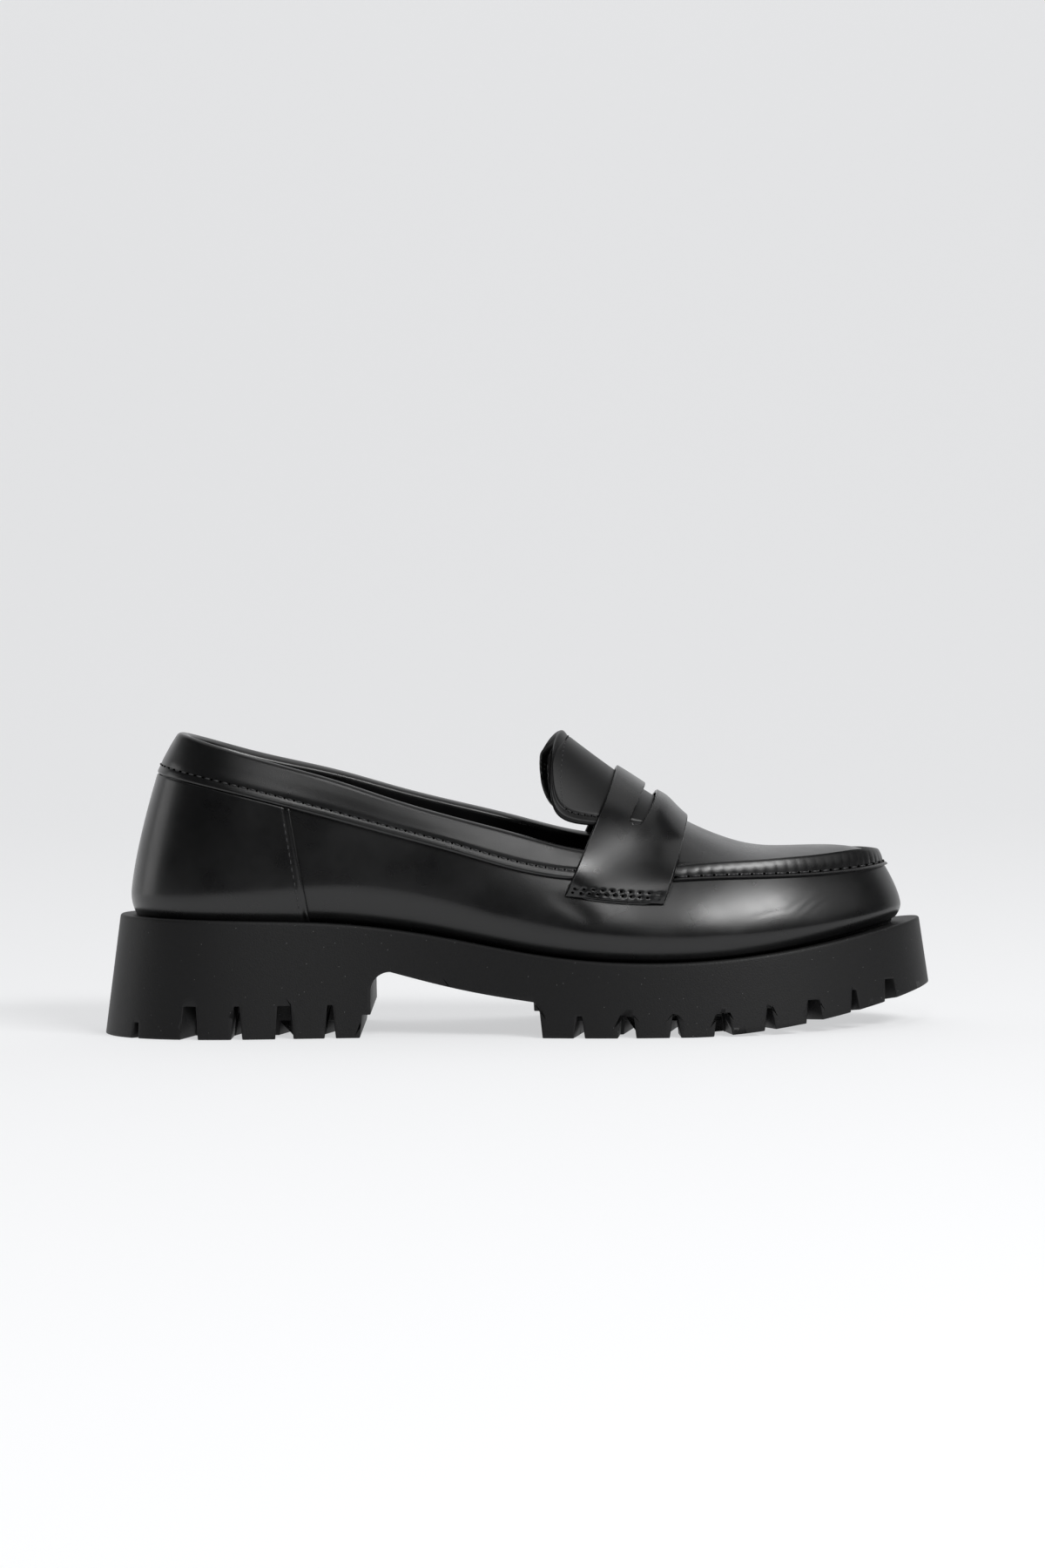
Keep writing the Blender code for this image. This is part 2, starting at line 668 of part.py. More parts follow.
def slot_cutter():
    """A bar with the outline of the strap's cut-out. It leans back, so the cut-out's ends lie further back."""
    slope = math.radians(SLOT_SLOPE)
    down = np.array((math.cos(slope), 0.0, -math.sin(slope)))
    out = np.array((math.sin(slope), 0.0, math.cos(slope)))
    centre = np.array((SLOT_CENTRE[0], 0.0, SLOT_CENTRE[1]))
    outline = []
    for side in (1, -1):
        for k in range(SLOT_SIDE_STEPS + 1):
            y = mix(-1.0, 1.0, k / SLOT_SIDE_STEPS) * side
            half = mix(SLOT_MIDDLE, SLOT_END, y * y) / 2
            if k in (0, SLOT_SIDE_STEPS):
                half *= SLOT_END_SHARE
            place = centre + np.array((0.0, SLOT_HALF_LENGTH * y, 0.0))
            outline.append(place + down * half * side)

    def fill(bm):
        low = [bm.verts.new(point - out * SLOT_BELOW) for point in outline]
        high = [bm.verts.new(point + out * SLOT_ABOVE) for point in outline]
        close_prism(bm, low, high)

    return new_cutter("strap_slot_cutter", fill)


def make_strap(material, carriers):
    """The saddle strap, draped over tongue and apron, with its cut-out."""
    pivots, rays, reach = drape(carriers)
    under = pivots + rays * (reach + GAP * 1.3)
    over = under + rays * STRAP_WALL
    made = new_object("saddle_strap", lambda bm: sheet_between(bm, under, over), material)
    cut(made, slot_cutter())
    return made


def cut(target, cutter, operation="DIFFERENCE"):
    """A Boolean modifier with a hidden cutter."""
    boolean = target.modifiers.new(cutter.name, "BOOLEAN")
    boolean.operation = operation
    boolean.solver = "EXACT"
    boolean.object = cutter


def toe_spring(x):
    """Height of the sole's underside ahead of the heel's and the ball's flat treads."""
    end_x, end_z = SPRING_END
    s = max(0.0, (x - SPRING_START_X) / (end_x - SPRING_START_X))
    return end_z * s ** SPRING_POWER


def sole_outline(z):
    """The sole's outline at a height: its side slopes outwards towards the ground."""
    points = []
    for q in stations(SOLE_SECTIONS_PER_SIDE):
        x, y, nx, ny = rim.at(q)
        draft = SIDE_DRAFT + END_DRAFT * nx * nx
        out = draft * (sole_top(x) - z)
        points.append((x + nx * out, y + ny * out, z))
    return points


def side_silhouette():
    """The sole seen from the side: tread, breast, arch, lug step, toe spring and the curved top."""
    breast_top = ARCH_TOP[1] - BREAST_RADIUS
    points = [(-BLOCK_HALF_LENGTH, 0.0), (HEEL_BREAST_X - LUG_STEP - EDGE_SLOPE, 0.0)]
    points += [(HEEL_BREAST_X - LUG_STEP, LUG_STEP_Z), (HEEL_BREAST_X, LUG_STEP_Z), (HEEL_BREAST_X, breast_top)]
    for k in range(1, 6):
        angle = math.pi - k / 6 * math.pi / 2
        points.append((ARCH_TOP[0] + BREAST_RADIUS * math.cos(angle), breast_top + BREAST_RADIUS * math.sin(angle)))
    for k in range(8):
        s = k / 7
        sag = ARCH_SAG * math.sin(math.pi * s)
        points.append((mix(ARCH_TOP[0], ARCH_END[0], s), mix(ARCH_TOP[1], ARCH_END[1], s) - sag))
    points += [(ARCH_END[0], FORE_STEP_Z), (FORE_LUG_X, FORE_STEP_Z), (FORE_LUG_X + EDGE_SLOPE, 0.0)]
    points += [(x, toe_spring(x)) for x in np.linspace(SPRING_START_X, BLOCK_HALF_LENGTH, 14)]
    points += [(x, sole_top(x)) for x in np.linspace(BLOCK_HALF_LENGTH, -BLOCK_HALF_LENGTH, 41)]
    return points


def prism_along_y(bm, outline, half):
    """A closed bar with this side outline."""
    near = [bm.verts.new((x, -half, z)) for x, z in outline]
    far = [bm.verts.new((x, half, z)) for x, z in outline]
    close_prism(bm, near, far)


def tapered_slot(bm, start, direction, length, top_z, bottom_z, widths):
    """A slot's space: narrow at the top and wider at the ground, running from start along direction."""
    side = np.array((-direction[1], direction[0]))
    low_z = bottom_z - BELOW_GROUND
    slope = (widths[1] - widths[0]) / (top_z - bottom_z)
    verts = []
    for run in (0.0, length):
        centre = start + direction * run
        for z in (top_z, low_z):
            half = (widths[0] + slope * (top_z - z)) / 2
            for sign in (-1, 1):
                verts.append(bm.verts.new((*(centre + side * half * sign), z)))
    a, b, c, d, e, f, g, h = verts
    for face in ((a, b, d, c), (e, g, h, f), (a, e, f, b), (c, d, h, g), (a, c, g, e), (b, f, h, d)):
        bm.faces.new(face)


def slot_places():
    """Where the side slots are: (side, q, kind, depth), measured along the sole's edge."""
    places = []
    for side in (-1, 1):
        run = rim.length(side)
        heel_start = abs(rim.q_of_x(HEEL_BREAST_X - LUG_STEP, side)) * run
        fore_start = abs(rim.q_of_x(FORE_LUG_X, side)) * run
        for distance, kind in HEEL_SLOTS:
            depth = NOTCH_DEPTH if kind == "notch" else HEEL_SLOT_DEPTH
            places.append((side, side * (heel_start - distance) / run, kind, depth))
        for k in range(FORE_SLOT_COUNT + 1):
            kind = "notch" if k == FORE_SLOT_COUNT else ("narrow", "wide")[k % 2]
            depth = NOTCH_DEPTH * LAST_NOTCH_SHARE if kind == "notch" else FORE_SLOT_DEPTH
            distance = FORE_SLOT_START + FORE_SLOT_PITCH * k
            places.append((side, side * (fore_start + distance) / run, kind, depth))
    return places


def make_slot_cutters():
    """Side slots of each side, and the channels that join them under the foot."""
    ends = {-1: [], 1: []}
    made = []
    for side, name in ((-1, "lateral_slots"), (1, "medial_slots")):
        def fill(bm, side=side):
            for place_side, q, kind, depth in slot_places():
                if place_side != side:
                    continue
                x, y, nx, ny = rim.at(q)
                inward = -np.array((nx, ny))
                start = np.array((x, y)) - inward * SLOT_OUTSIDE
                ground = toe_spring(x)
                length = SLOT_OUTSIDE + SLOT_REACH * (NOTCH_REACH_SHARE if kind == "notch" else 1.0)
                tapered_slot(bm, start, inward, length, ground + depth, ground, SLOT_WIDTHS[kind])
                if kind != "notch":
                    ends[side].append(start + inward * (length - CHANNEL_LAP))
        made.append(new_cutter(name, fill))

    def channels(bm):
        for lateral, medial in zip(ends[-1], ends[1]):
            if lateral[0] > LAST_CHANNEL_X:
                continue
            middle = (lateral + medial) / 2 + np.array((CHANNEL_POINT, 0.0))
            ground = toe_spring(middle[0])
            half = CHANNEL_WIDTH / 2
            wide = half + CHANNEL_FLARE
            top, low = ground + CHANNEL_DEPTH, ground - BELOW_GROUND
            rings = []
            for x, y in (lateral, middle, medial):
                ring = ((x - half, y, top), (x + half, y, top), (x + wide, y, low), (x - wide, y, low))
                rings.append([bm.verts.new(corner) for corner in ring])
            for a, b in zip(rings, rings[1:]):
                for j in range(4):
                    k = (j + 1) % 4
                    bm.faces.new((a[j], a[k], b[k], b[j]))
            bm.faces.new(rings[0])
            bm.faces.new(rings[-1])

    made.append(new_cutter("tread_channels", channels))
    return made


def make_sole(material):
    """The moulded sole: sloping sides cut to the side silhouette, then the tread's slots and channels."""

    def block(bm):
        low, high = [[bm.verts.new(point) for point in sole_outline(z)] for z in (-BELOW_GROUND, BLOCK_TOP)]
        close_prism(bm, low, high)

    made = new_object("sole", block, material)
    silhouette = new_cutter("sole_silhouette", lambda bm: prism_along_y(bm, side_silhouette(), BLOCK_HALF_WIDTH))
    cut(made, silhouette, "INTERSECT")
    for cutter in make_slot_cutters():
        cut(made, cutter)
    return made


def make_insole(material):
    """The padded sock that lies on the sole inside the upper."""
    under, over = [], []
    for q in stations(SECTIONS_PER_SIDE):
        section = Section(q)
        for line, rise in ((under, GAP), (over, GAP + INSOLE_THICK)):
            x, y = section.plan(section.inside(section.base + rise, UPPER_WALL + INSOLE_CLEARANCE))
            line.append((x, y, sole_top(x) + rise))

    def fill(bm):
        half = len(under) // 2
        low, high = [[bm.verts.new(point) for point in line] for line in (under, over)]
        count = len(low)
        for i in range(count):
            k = (i + 1) % count
            bm.faces.new((low[i], low[k], high[k], high[i]))
        for ring in (low, high):
            for i in range(half):
                a, b = ring[i], ring[i + 1]
                c, d = ring[(count - i - 1) % count], ring[(count - i) % count]
                if i == 0:
                    bm.faces.new((a, b, c))
                elif i == half - 1:
                    bm.faces.new((a, b, d))
                else:
                    bm.faces.new((a, b, c, d))

    return new_object("insole", fill, material)


def clear_scene():
    """Removes what the start-up scene holds."""
    for old in list(bpy.data.objects):
        bpy.data.objects.remove(old)


def main():
    clear_scene()
    black_leather = leather("black_leather", (0.012, 0.012, 0.013), 0.33)
    black_rubber = leather("black_rubber", (0.018, 0.018, 0.019), 0.62)
    black_lining = leather("black_lining", (0.02, 0.02, 0.021), 0.6)
    make_sole(black_rubber)
    make_insole(black_lining)
    upper = make_upper(black_leather)
    make_counter(black_leather)
    band = make_collar_band(black_leather)
    tongue = make_tongue(black_leather)
    bpy.context.view_layer.update()
    make_strap(black_leather, [upper, band, tongue])


main()
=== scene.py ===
"""Chunky lug sole penny loafer, a right shoe: every piece in its real form and finish, in a plain studio.

Sizes in the tables are millimetres. The toe points along +X, the outer side of the foot is -Y. The shoe's
shape comes from the same last as the CAD model: its sole edge in plan, its heights from the side, and how
far the upper stands inside the sole's edge.
"""

import math

import bmesh
import bpy
import numpy as np
from mathutils import Matrix, Vector
from mathutils.bvhtree import BVHTree
from numpy.polynomial import chebyshev


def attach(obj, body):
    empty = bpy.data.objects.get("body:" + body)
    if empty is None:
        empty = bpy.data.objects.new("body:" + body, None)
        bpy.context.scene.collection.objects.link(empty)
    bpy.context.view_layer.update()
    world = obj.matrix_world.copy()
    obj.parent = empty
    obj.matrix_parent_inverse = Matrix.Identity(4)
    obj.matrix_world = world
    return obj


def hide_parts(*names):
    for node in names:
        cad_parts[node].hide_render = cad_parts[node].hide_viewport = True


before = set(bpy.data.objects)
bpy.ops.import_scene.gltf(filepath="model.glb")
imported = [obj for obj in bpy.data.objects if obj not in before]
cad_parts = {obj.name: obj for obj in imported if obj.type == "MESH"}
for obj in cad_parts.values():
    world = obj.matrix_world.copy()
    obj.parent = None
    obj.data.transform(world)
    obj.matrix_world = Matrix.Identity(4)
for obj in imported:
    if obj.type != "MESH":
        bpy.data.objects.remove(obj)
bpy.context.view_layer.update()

MM = 0.001
GAP = 0.3              # clearance between pieces that meet

# Leather and lining thicknesses
UPPER_WALL = 2.2
OUTER_LEATHER = 1.2
APRON_LEATHER = 1.1
LINING_WALL = 0.8
COUNTER_WALL = 1.0
TONGUE_WALL = 1.5
STRAP_WALL = 1.2
INSOLE_THICK = 3.5
INSOLE_CLEARANCE = 0.9

# How far cut edges are rounded
LEATHER_EDGE = 0.25
STRAP_EDGE = 0.3
SOLE_EDGE_ROUNDING = 0.3

# Sole block
SIDE_DRAFT = 0.09      # outward slope of the sole's side, per unit of height
END_DRAFT = 0.05       # added at the toe and the heel back
HEEL_BREAST_X = -49.0
BREAST_RADIUS = 6.5
LUG_STEP_Z = 7.6       # the lug layer is set back from the breast under this height
LUG_STEP = 2.8
ARCH_TOP = (-42.5, 21.6)
ARCH_END = (5.0, 11.7)
ARCH_SAG = 1.0
FORE_LUG_X = 6.8
FORE_STEP_Z = 8.9
TOE_SPRING_START = 56.0
TOE_SPRING_END = (139.0, 13.4)   # x, height of the underside there
TOE_SPRING_CURVE = 1.75
BELOW_GROUND = 6.0     # how far the uncut block and the spaces cut from it reach below the ground
BEYOND_SOLE = 75.0     # half the width of the space cut from under it

# Side slots between the lugs: wide and narrow ones take turns along the edge
HEEL_SLOT_DEPTH = 11.0
FORE_SLOT_DEPTH = 7.3
NOTCH_DEPTH = 5.2
LAST_NOTCH_SHARE = 0.6     # how deep the notch nearest the toe is, beside the others
NOTCH_REACH_SHARE = 0.35   # how far a notch reaches in, beside a slot
SLOT_WIDTHS = {"wide": (4.2, 6.0), "narrow": (1.6, 3.7), "notch": (2.0, 2.6)}   # top, bottom
SLOT_REACH = 12.0
SLOT_OUTSIDE = 9.0     # how far outside the sole's edge a slot's space starts
CHANNEL_DEPTH = 4.6
CHANNEL_WIDTH = 3.4
CHANNEL_FLARE = 0.8    # how much further each side lies out below the ground
CHANNEL_POINT = 6.0    # how far a channel's middle lies ahead of its ends
CHANNEL_LAP = 1.5      # how far it runs into its slots
CHANNEL_SHORTEST = 12.0    # only its long edges are longer than this
LAST_CHANNEL_X = 105.0
HEEL_SLOTS = ((10.7, "narrow"), (25.9, "wide"), (41.4, "narrow"), (56.6, "wide"), (75.5, "notch"))
FORE_SLOT_START = 13.6
FORE_SLOT_PITCH = 15.6
FORE_SLOT_COUNT = 8

# Outline of the sole's top edge, in plan, from the heel back: lateral side, toe, medial side
RIM_PLAN = (
    # x, y
    (-134.0, 0.0),
    (-128.0, -19.0),
    (-110.0, -31.3),
    (-80.0, -33.5),
    (-45.0, -32.8),
    (-10.0, -38.2),
    (25.0, -45.9),
    (55.0, -47.4),
    (88.0, -41.2),
    (114.0, -27.5),
    (131.0, -10.0),
    (136.0, 5.0),
    (131.5, 20.0),
    (116.0, 34.5),
    (90.0, 44.0),
    (55.0, 47.4),
    (20.0, 43.6),
    (-15.0, 35.8),
    (-45.0, 31.2),
    (-80.0, 32.3),
    (-110.0, 30.3),
    (-128.0, 18.5),
)
TOE_ROW = 11

# Heights along the shoe, seen from the side
SIDE_PROFILE = (
    # x, sole top, seam, topline
    (-140.0, 40.3, 92.0, 105.0),
    (-115.0, 39.5, 86.0, 100.1),
    (-90.0, 38.8, 79.8, 92.3),
    (-60.0, 37.5, 71.8, 83.8),
    (-40.0, 35.2, 66.2, 77.0),
    (-20.0, 31.8, 60.6, 71.0),
    (0.0, 28.0, 54.7, 65.5),
    (20.0, 25.3, 51.4, 60.2),
    (40.0, 24.2, 51.4, 58.0),
    (62.0, 24.6, 52.3, 58.0),
    (89.0, 27.3, 52.4, 58.0),
    (112.0, 31.0, 53.2, 58.0),
    (138.0, 36.0, 56.0, 58.0),
)
MEDIAL_RISE = 3.5      # how much higher the topline is on the inner side of the foot, at the strap
MEDIAL_RISE_X = (-115.0, 5.0)    # where that rise begins, and where it is whole

# Upper, measured inwards from the sole's top edge: one row for each section, by that edge's x
INSETS = (
    # x, feather, belly, belly above the sole, seam, topline
    (-134.0, 6.6, 5.0, 6.5, 14.4, 21.4),
    (-115.0, 6.2, 4.6, 7.5, 10.8, 16.4),
    (-90.0, 5.6, 3.2, 9.5, 6.9, 11.4),
    (-45.0, 5.0, 0.8, 13.0, 2.0, 4.4),
    (-10.0, 5.0, 2.3, 11.0, 4.6, 8.2),
    (25.0, 5.0, 2.6, 9.0, 8.4, 12.2),
    (55.0, 5.0, 3.0, 8.0, 10.6, 14.0),
    (88.0, 5.6, 4.0, 6.5, 11.2, 14.0),
    (114.0, 6.8, 5.2, 5.0, 11.8, 14.0),
    (136.0, 7.7, 6.1, 4.0, 12.2, 14.0),
)
WALL_CURVE = 1.45      # power of the wall's inward lean between belly and seam, at the toe
HEEL_WALL_CURVE = 1.35
WALL_CURVE_X = (-60.0, 60.0)     # the heel's power passes into the toe's between these
COLLAR_CURVE = 1.15    # power of the lean between seam and topline

# Apron (the vamp's top panel) and the tongue that carries on from it: crown line and arch
APRON_PROFILE = (
    # x, crown z, z at the arch's foot, share of the arch that is a plain parabola
    (4.0, 106.8, 44.0, 0.5),
    (14.0, 98.9, 47.2, 0.5),
    (33.0, 84.4, 53.0, 0.5),
    (44.0, 77.0, 55.0, 0.6),
    (58.0, 68.7, 55.2, 0.8),
    (68.0, 64.2, 55.2, 1.0),
    (80.0, 60.8, 55.1, 1.0),
    (92.0, 60.2, 54.6, 1.0),
    (106.0, 60.2, 51.8, 1.0),
    (116.0, 58.9, 48.6, 1.0),
    (126.0, 55.6, 45.0, 1.0),
)
ARCH_HALF_WIDTH = 35.0
ARCH_REACH = 1.15      # it runs on this share of that width, and is level beyond
MIDLINE = ((-140.0, 0.0), (40.0, 0.0), (88.0, 1.2), (114.0, 3.8), (130.0, 5.0))   # x, y
INSIDE_Z = 30.0        # a height that lies inside the shoe all along it

RIDGE_OVER_APRON = 0.9
RIDGE_AT_TOE = 0.7     # how much more it stands up round the toe
RIDGE_RISE_X = (95.0, 125.0)
GROOVE_IN = 3.2

# Where the collar ends and the apron begins, by the x of the sole's edge: both hidden by the strap
COLLAR_END_X = 24.0
COLLAR_LAP = 7.0
APRON_START_X = 50.0
THROAT_X = 40.0
THROAT_HALF = 31.0
THROAT_BOW = 6.0

# Heel counter panel, seen from the side: its front edge
COUNTER_EDGE = (-68.7, -75.0)   # x of the sole's edge under it, at the sole and at the top

# Tongue, one row for each crossing: x on the crown, x at the edge, y at the edge
TONGUE_ROWS = (
    # crown x, edge x, edge y
    (50.0, 45.0, 27.0),
    (42.0, 35.5, 28.0),
    (33.5, 22.5, 28.6),
    (26.5, 13.4, 28.0),
    (21.0, 9.4, 26.2),
    (17.0, 8.1, 23.6),
    (14.0, 8.4, 19.5),
)

# Saddle strap: pivot line inside the foot, and the crown of its rear and front edges
STRAP_PIVOT_Z = 49.0
STRAP_REAR = (16.7, 33.3, 86.0, 94.5)    # pivot x, crown x, crown z, end angle from the crown in degrees
STRAP_FRONT = (50.2, 57.4, 70.0, 98.0)
SLOT_CENTRE = (45.0, 79.7)        # x, z on the crown
SLOT_SLOPE = 30.0                 # degrees, how far its bar leans
SLOT_HALF_LENGTH = 30.5
SLOT_MIDDLE = 4.6                 # fore and aft width on the crown
SLOT_END = 5.4
SLOT_SQUARE_ENDS = 0.55           # below 1 the outline is squarer than an oval
SLOT_SQUARE_SIDES = 0.35
SLOT_BAR_UNDER = 22.0             # how far the bar that cuts it starts under its centre
SLOT_BAR_LENGTH = 30.0


def cubic(xs, ys):
    """A natural cubic spline through (xs, ys), as a function of an array; level beyond its ends."""
    xs, ys = np.array(xs, float), np.array(ys, float)
    h = np.diff(xs)
    n = len(xs)
    system, right = np.eye(n), np.zeros(n)
    for i in range(1, n - 1):
        system[i, i - 1: i + 2] = h[i - 1], 2 * (h[i - 1] + h[i]), h[i]
        right[i] = 6 * ((ys[i + 1] - ys[i]) / h[i] - (ys[i] - ys[i - 1]) / h[i - 1])
    bend = np.linalg.solve(system, right)

    def value(x):
        x = np.clip(x, xs[0], xs[-1])
        i = np.minimum(np.searchsorted(xs, x, "right") - 1, n - 2)
        a, b = (xs[i + 1] - x) / h[i], (x - xs[i]) / h[i]
        return a * ys[i] + b * ys[i + 1] + ((a ** 3 - a) * bend[i] + (b ** 3 - b) * bend[i + 1]) * h[i] ** 2 / 6

    return value


def columns(table):
    """One spline for each column after the first, which is x."""
    rows = np.array(table, float)
    return [cubic(rows[:, 0], rows[:, c]) for c in range(1, rows.shape[1])]


def smooth(low, high, x):
    """0 below low, 1 above high, and a smooth step between."""
    s = np.clip((np.asarray(x, float) - low) / (high - low), 0.0, 1.0)
    return s * s * (3 - 2 * s)


def mix(a, b, share):
    return a + (b - a) * share


def bell(x, at, width):
    """1 at one place, falling away softly to both sides."""
    return np.exp(-((x - at) / width) ** 2)


def points(x, y, z):
    """Arrays of coordinates as one array of points."""
    return np.stack([x, y, z], axis=-1)


def rows_between(low, high, count):
    """Evenly spread values from low to high, both included."""
    return [mix(low, high, share) for share in np.linspace(0, 1, count)]


def distance_along(path):
    """How far each point of a line lies from its start."""
    return np.concatenate([[0], np.cumsum(np.linalg.norm(np.diff(path, axis=0), axis=1))])


def read_line(at, run, path):
    """What a line of points holds at these distances along it."""
    return np.stack([np.interp(at, run, path[:, c]) for c in range(3)], axis=-1)


sole_top, seam_height, topline_height = columns(SIDE_PROFILE)
feather_in, belly_in, belly_up, seam_in, topline_in = columns(INSETS)
apron_crown, apron_foot, apron_parabola = columns(APRON_PROFILE)
(midline,) = columns(MIDLINE)


class Rim:
    """The sole's top edge. A place on it is q, from 0 at the heel back to 1 at the toe: negative on the
    lateral side and positive on the medial one."""

    SAMPLES = 2400
    REACH = 1.5        # how far to each side its direction is read
    WRAP = 4           # points of the plan that are laid again before its start and after its end

    def __init__(self):
        plan = np.array(RIM_PLAN)
        ring = np.vstack([plan[-self.WRAP:], plan, plan[:self.WRAP + 1]])
        at = distance_along(ring)
        x, y = cubic(at, ring[:, 0]), cubic(at, ring[:, 1])
        heel, toe, heel_again = (at[self.WRAP + row] for row in (0, TOE_ROW, len(plan)))
        self.sides = {-1: self.measured(x, y, heel, toe), 1: self.measured(x, y, heel_again, toe)}
        (lateral_run, lateral), (medial_run, medial) = self.sides[-1], self.sides[1]
        back = medial_run[-1] - medial_run[-2::-1]
        self.loop = (np.concatenate([lateral_run, lateral_run[-1] + back]),
                     np.concatenate([lateral, medial[-2::-1]]))

    def measured(self, x, y, start, end):
        along = np.linspace(start, end, self.SAMPLES)
        places = np.stack([x(along), y(along)], axis=1)
        return distance_along(places), places

    def length(self, side):
        return self.sides[side][0][-1]

    def at(self, q):
        """x, y, outward x and outward y of the edge at each q."""
        q = np.clip(np.atleast_1d(np.asarray(q, float)), -1.0, 1.0)
        run, places = self.loop
        at = np.where(q > 0, run[-1] - q * self.length(1), -q * self.length(-1))

        def spot(distance):
            return np.stack([np.interp(distance % run[-1], run, places[:, c]) for c in (0, 1)])

        dx, dy = spot(at + self.REACH) - spot(at - self.REACH)
        size = np.hypot(dx, dy)
        return np.stack([*spot(at), dy / size, -dx / size])

    def q_of_x(self, x, side):
        """The place on one side where the edge has this x."""
        run, places = self.sides[side]
        return side * np.interp(x, places[:, 0], run) / run[-1]


rim = Rim()


def both_sides(x):
    """The places on the lateral and the medial side where the edge has this x."""
    return [rim.q_of_x(x, side) for side in (-1, 1)]


def round_toe(x):
    """Places from this x on the lateral side, round the toe, to the same x on the medial side."""
    lateral, medial = both_sides(x)
    count = 260
    return np.concatenate([np.linspace(lateral, -1, count), np.linspace(1, medial, count)[1:]])


def arch(x, y):
    """Height of the apron's outer face, and of the surface that carries it on under the tongue."""
    t = np.minimum(ARCH_REACH, np.abs(y - midline(x)) / ARCH_HALF_WIDTH)
    parabola = apron_parabola(x)
    drop = parabola * t ** 2 + (1 - parabola) * t ** 4
    return apron_crown(x) - (apron_crown(x) - apron_foot(x)) * drop


class Wall:
    """The upper's outer face in the upright planes that cross the sole's edge at each q."""

    def __init__(self, q):
        self.q = np.atleast_1d(np.asarray(q, float))
        self.x, self.y, self.nx, self.ny = rim.at(self.q)
        self.base = sole_top(self.x) + GAP
        self.feather = feather_in(self.x)
        self.belly = belly_in(self.x)
        self.belly_z = self.base + belly_up(self.x)
        self.seam = seam_in(self.x)
        self.seam_z = seam_height(self.plan(self.seam)[0])
        self.top = topline_in(self.x)
        top_x = self.plan(self.top)[0]
        medial = np.where(self.q > 0, smooth(*MEDIAL_RISE_X, top_x), 0.0)
        self.top_z = topline_height(top_x) + MEDIAL_RISE * medial
        self.curve = mix(HEEL_WALL_CURVE, WALL_CURVE, smooth(*WALL_CURVE_X, self.x))

    def plan(self, inset):
        return self.x - self.nx * inset, self.y - self.ny * inset

    def inset(self, z):
        """How far the wall stands inside the sole's edge at each height."""
        drop = np.clip((self.belly_z - z) / (self.belly_z - self.base), 0, 2)
        under = mix(self.belly, self.feather, drop ** 2)
        rise = np.clip((z - self.belly_z) / (self.seam_z - self.belly_z), 0, 1)
        middle = mix(self.belly, self.seam, rise ** self.curve)
        over = np.clip((z - self.seam_z) / (self.top_z - self.seam_z), 0, 2)
        above = mix(self.seam, self.top, over ** COLLAR_CURVE)
        return np.where(z < self.belly_z, under, np.where(z < self.seam_z, middle, above))

    def lean(self, z):
        """How fast the wall leans inwards with height."""
        step = 0.5
        return (self.inset(z + step) - self.inset(z - step)) / (2 * step)

    def point(self, z, outward=0.0):
        """Points on the wall, moved outwards square to it."""
        lean = self.lean(z)
        size = np.hypot(lean, 1.0)
        x, y = self.plan(self.inset(z) - outward / size)
        return points(x, y, z + outward * lean / size)

    def normal(self, z):
        lean = self.lean(z)
        size = np.hypot(lean, 1.0)
        return points(self.nx / size, self.ny / size, lean / size)


def unit(v):
    return v / np.maximum(np.linalg.norm(v, axis=-1, keepdims=True), 1e-9)


def outward_normals(grid, around=False):
    """Unit normals of a grid of points that face away from the inside of the foot."""
    along = (np.roll(grid, -1, 0) - np.roll(grid, 1, 0)) if around else np.gradient(grid, axis=0)
    normal = unit(np.cross(along, np.gradient(grid, axis=1)))
    inside = grid * (1, 0, 0) + (0, 0, INSIDE_Z)
    return normal if (normal * (grid - inside)).sum() > 0 else -normal


CREASE_FADE = 0.7      # power of the way a crease dies away at its ends


def creased(grid, normals, table):
    """Presses soft troughs into a grid of points, and lifts ridges where the depth is negative."""
    x, y, z = grid[..., 0], grid[..., 1], grid[..., 2]
    depth = np.zeros(x.shape)
    for side, x0, z0, x1, z1, bow, width, deep in table:
        dx, dz = x1 - x0, z1 - z0
        long = math.hypot(dx, dz)
        u = ((x - x0) * dx + (z - z0) * dz) / long ** 2
        v = ((z - z0) * dx - (x - x0) * dz) / long - bow * 4 * u * (1 - u)
        fade = np.sin(math.pi * np.clip(u, 0, 1)) ** CREASE_FADE
        depth += deep * fade * bell(v, 0.0, width) * (y * side > 0)
    return grid - normals * depth[..., None]


def put_in_scene(name, data):
    """An object that holds a mesh, a lamp or a camera, linked to the scene."""
    made = bpy.data.objects.new(name, data)
    bpy.context.scene.collection.objects.link(made)
    return made


def new_piece(name, bm, material, slot):
    """Makes one piece from a bmesh in millimetres, with its finish. A cutter has no slot and rides nowhere."""
    bmesh.ops.scale(bm, vec=(MM, MM, MM), verts=bm.verts)
    mesh = bpy.data.meshes.new(name)
    bm.to_mesh(mesh)
    bm.free()
    mesh.shade_smooth()
    mesh.materials.append(material)
    piece = put_in_scene(name, mesh)
    if slot:
        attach(piece, "root")
    return piece


WELD = 1e-4            # points closer than this become one


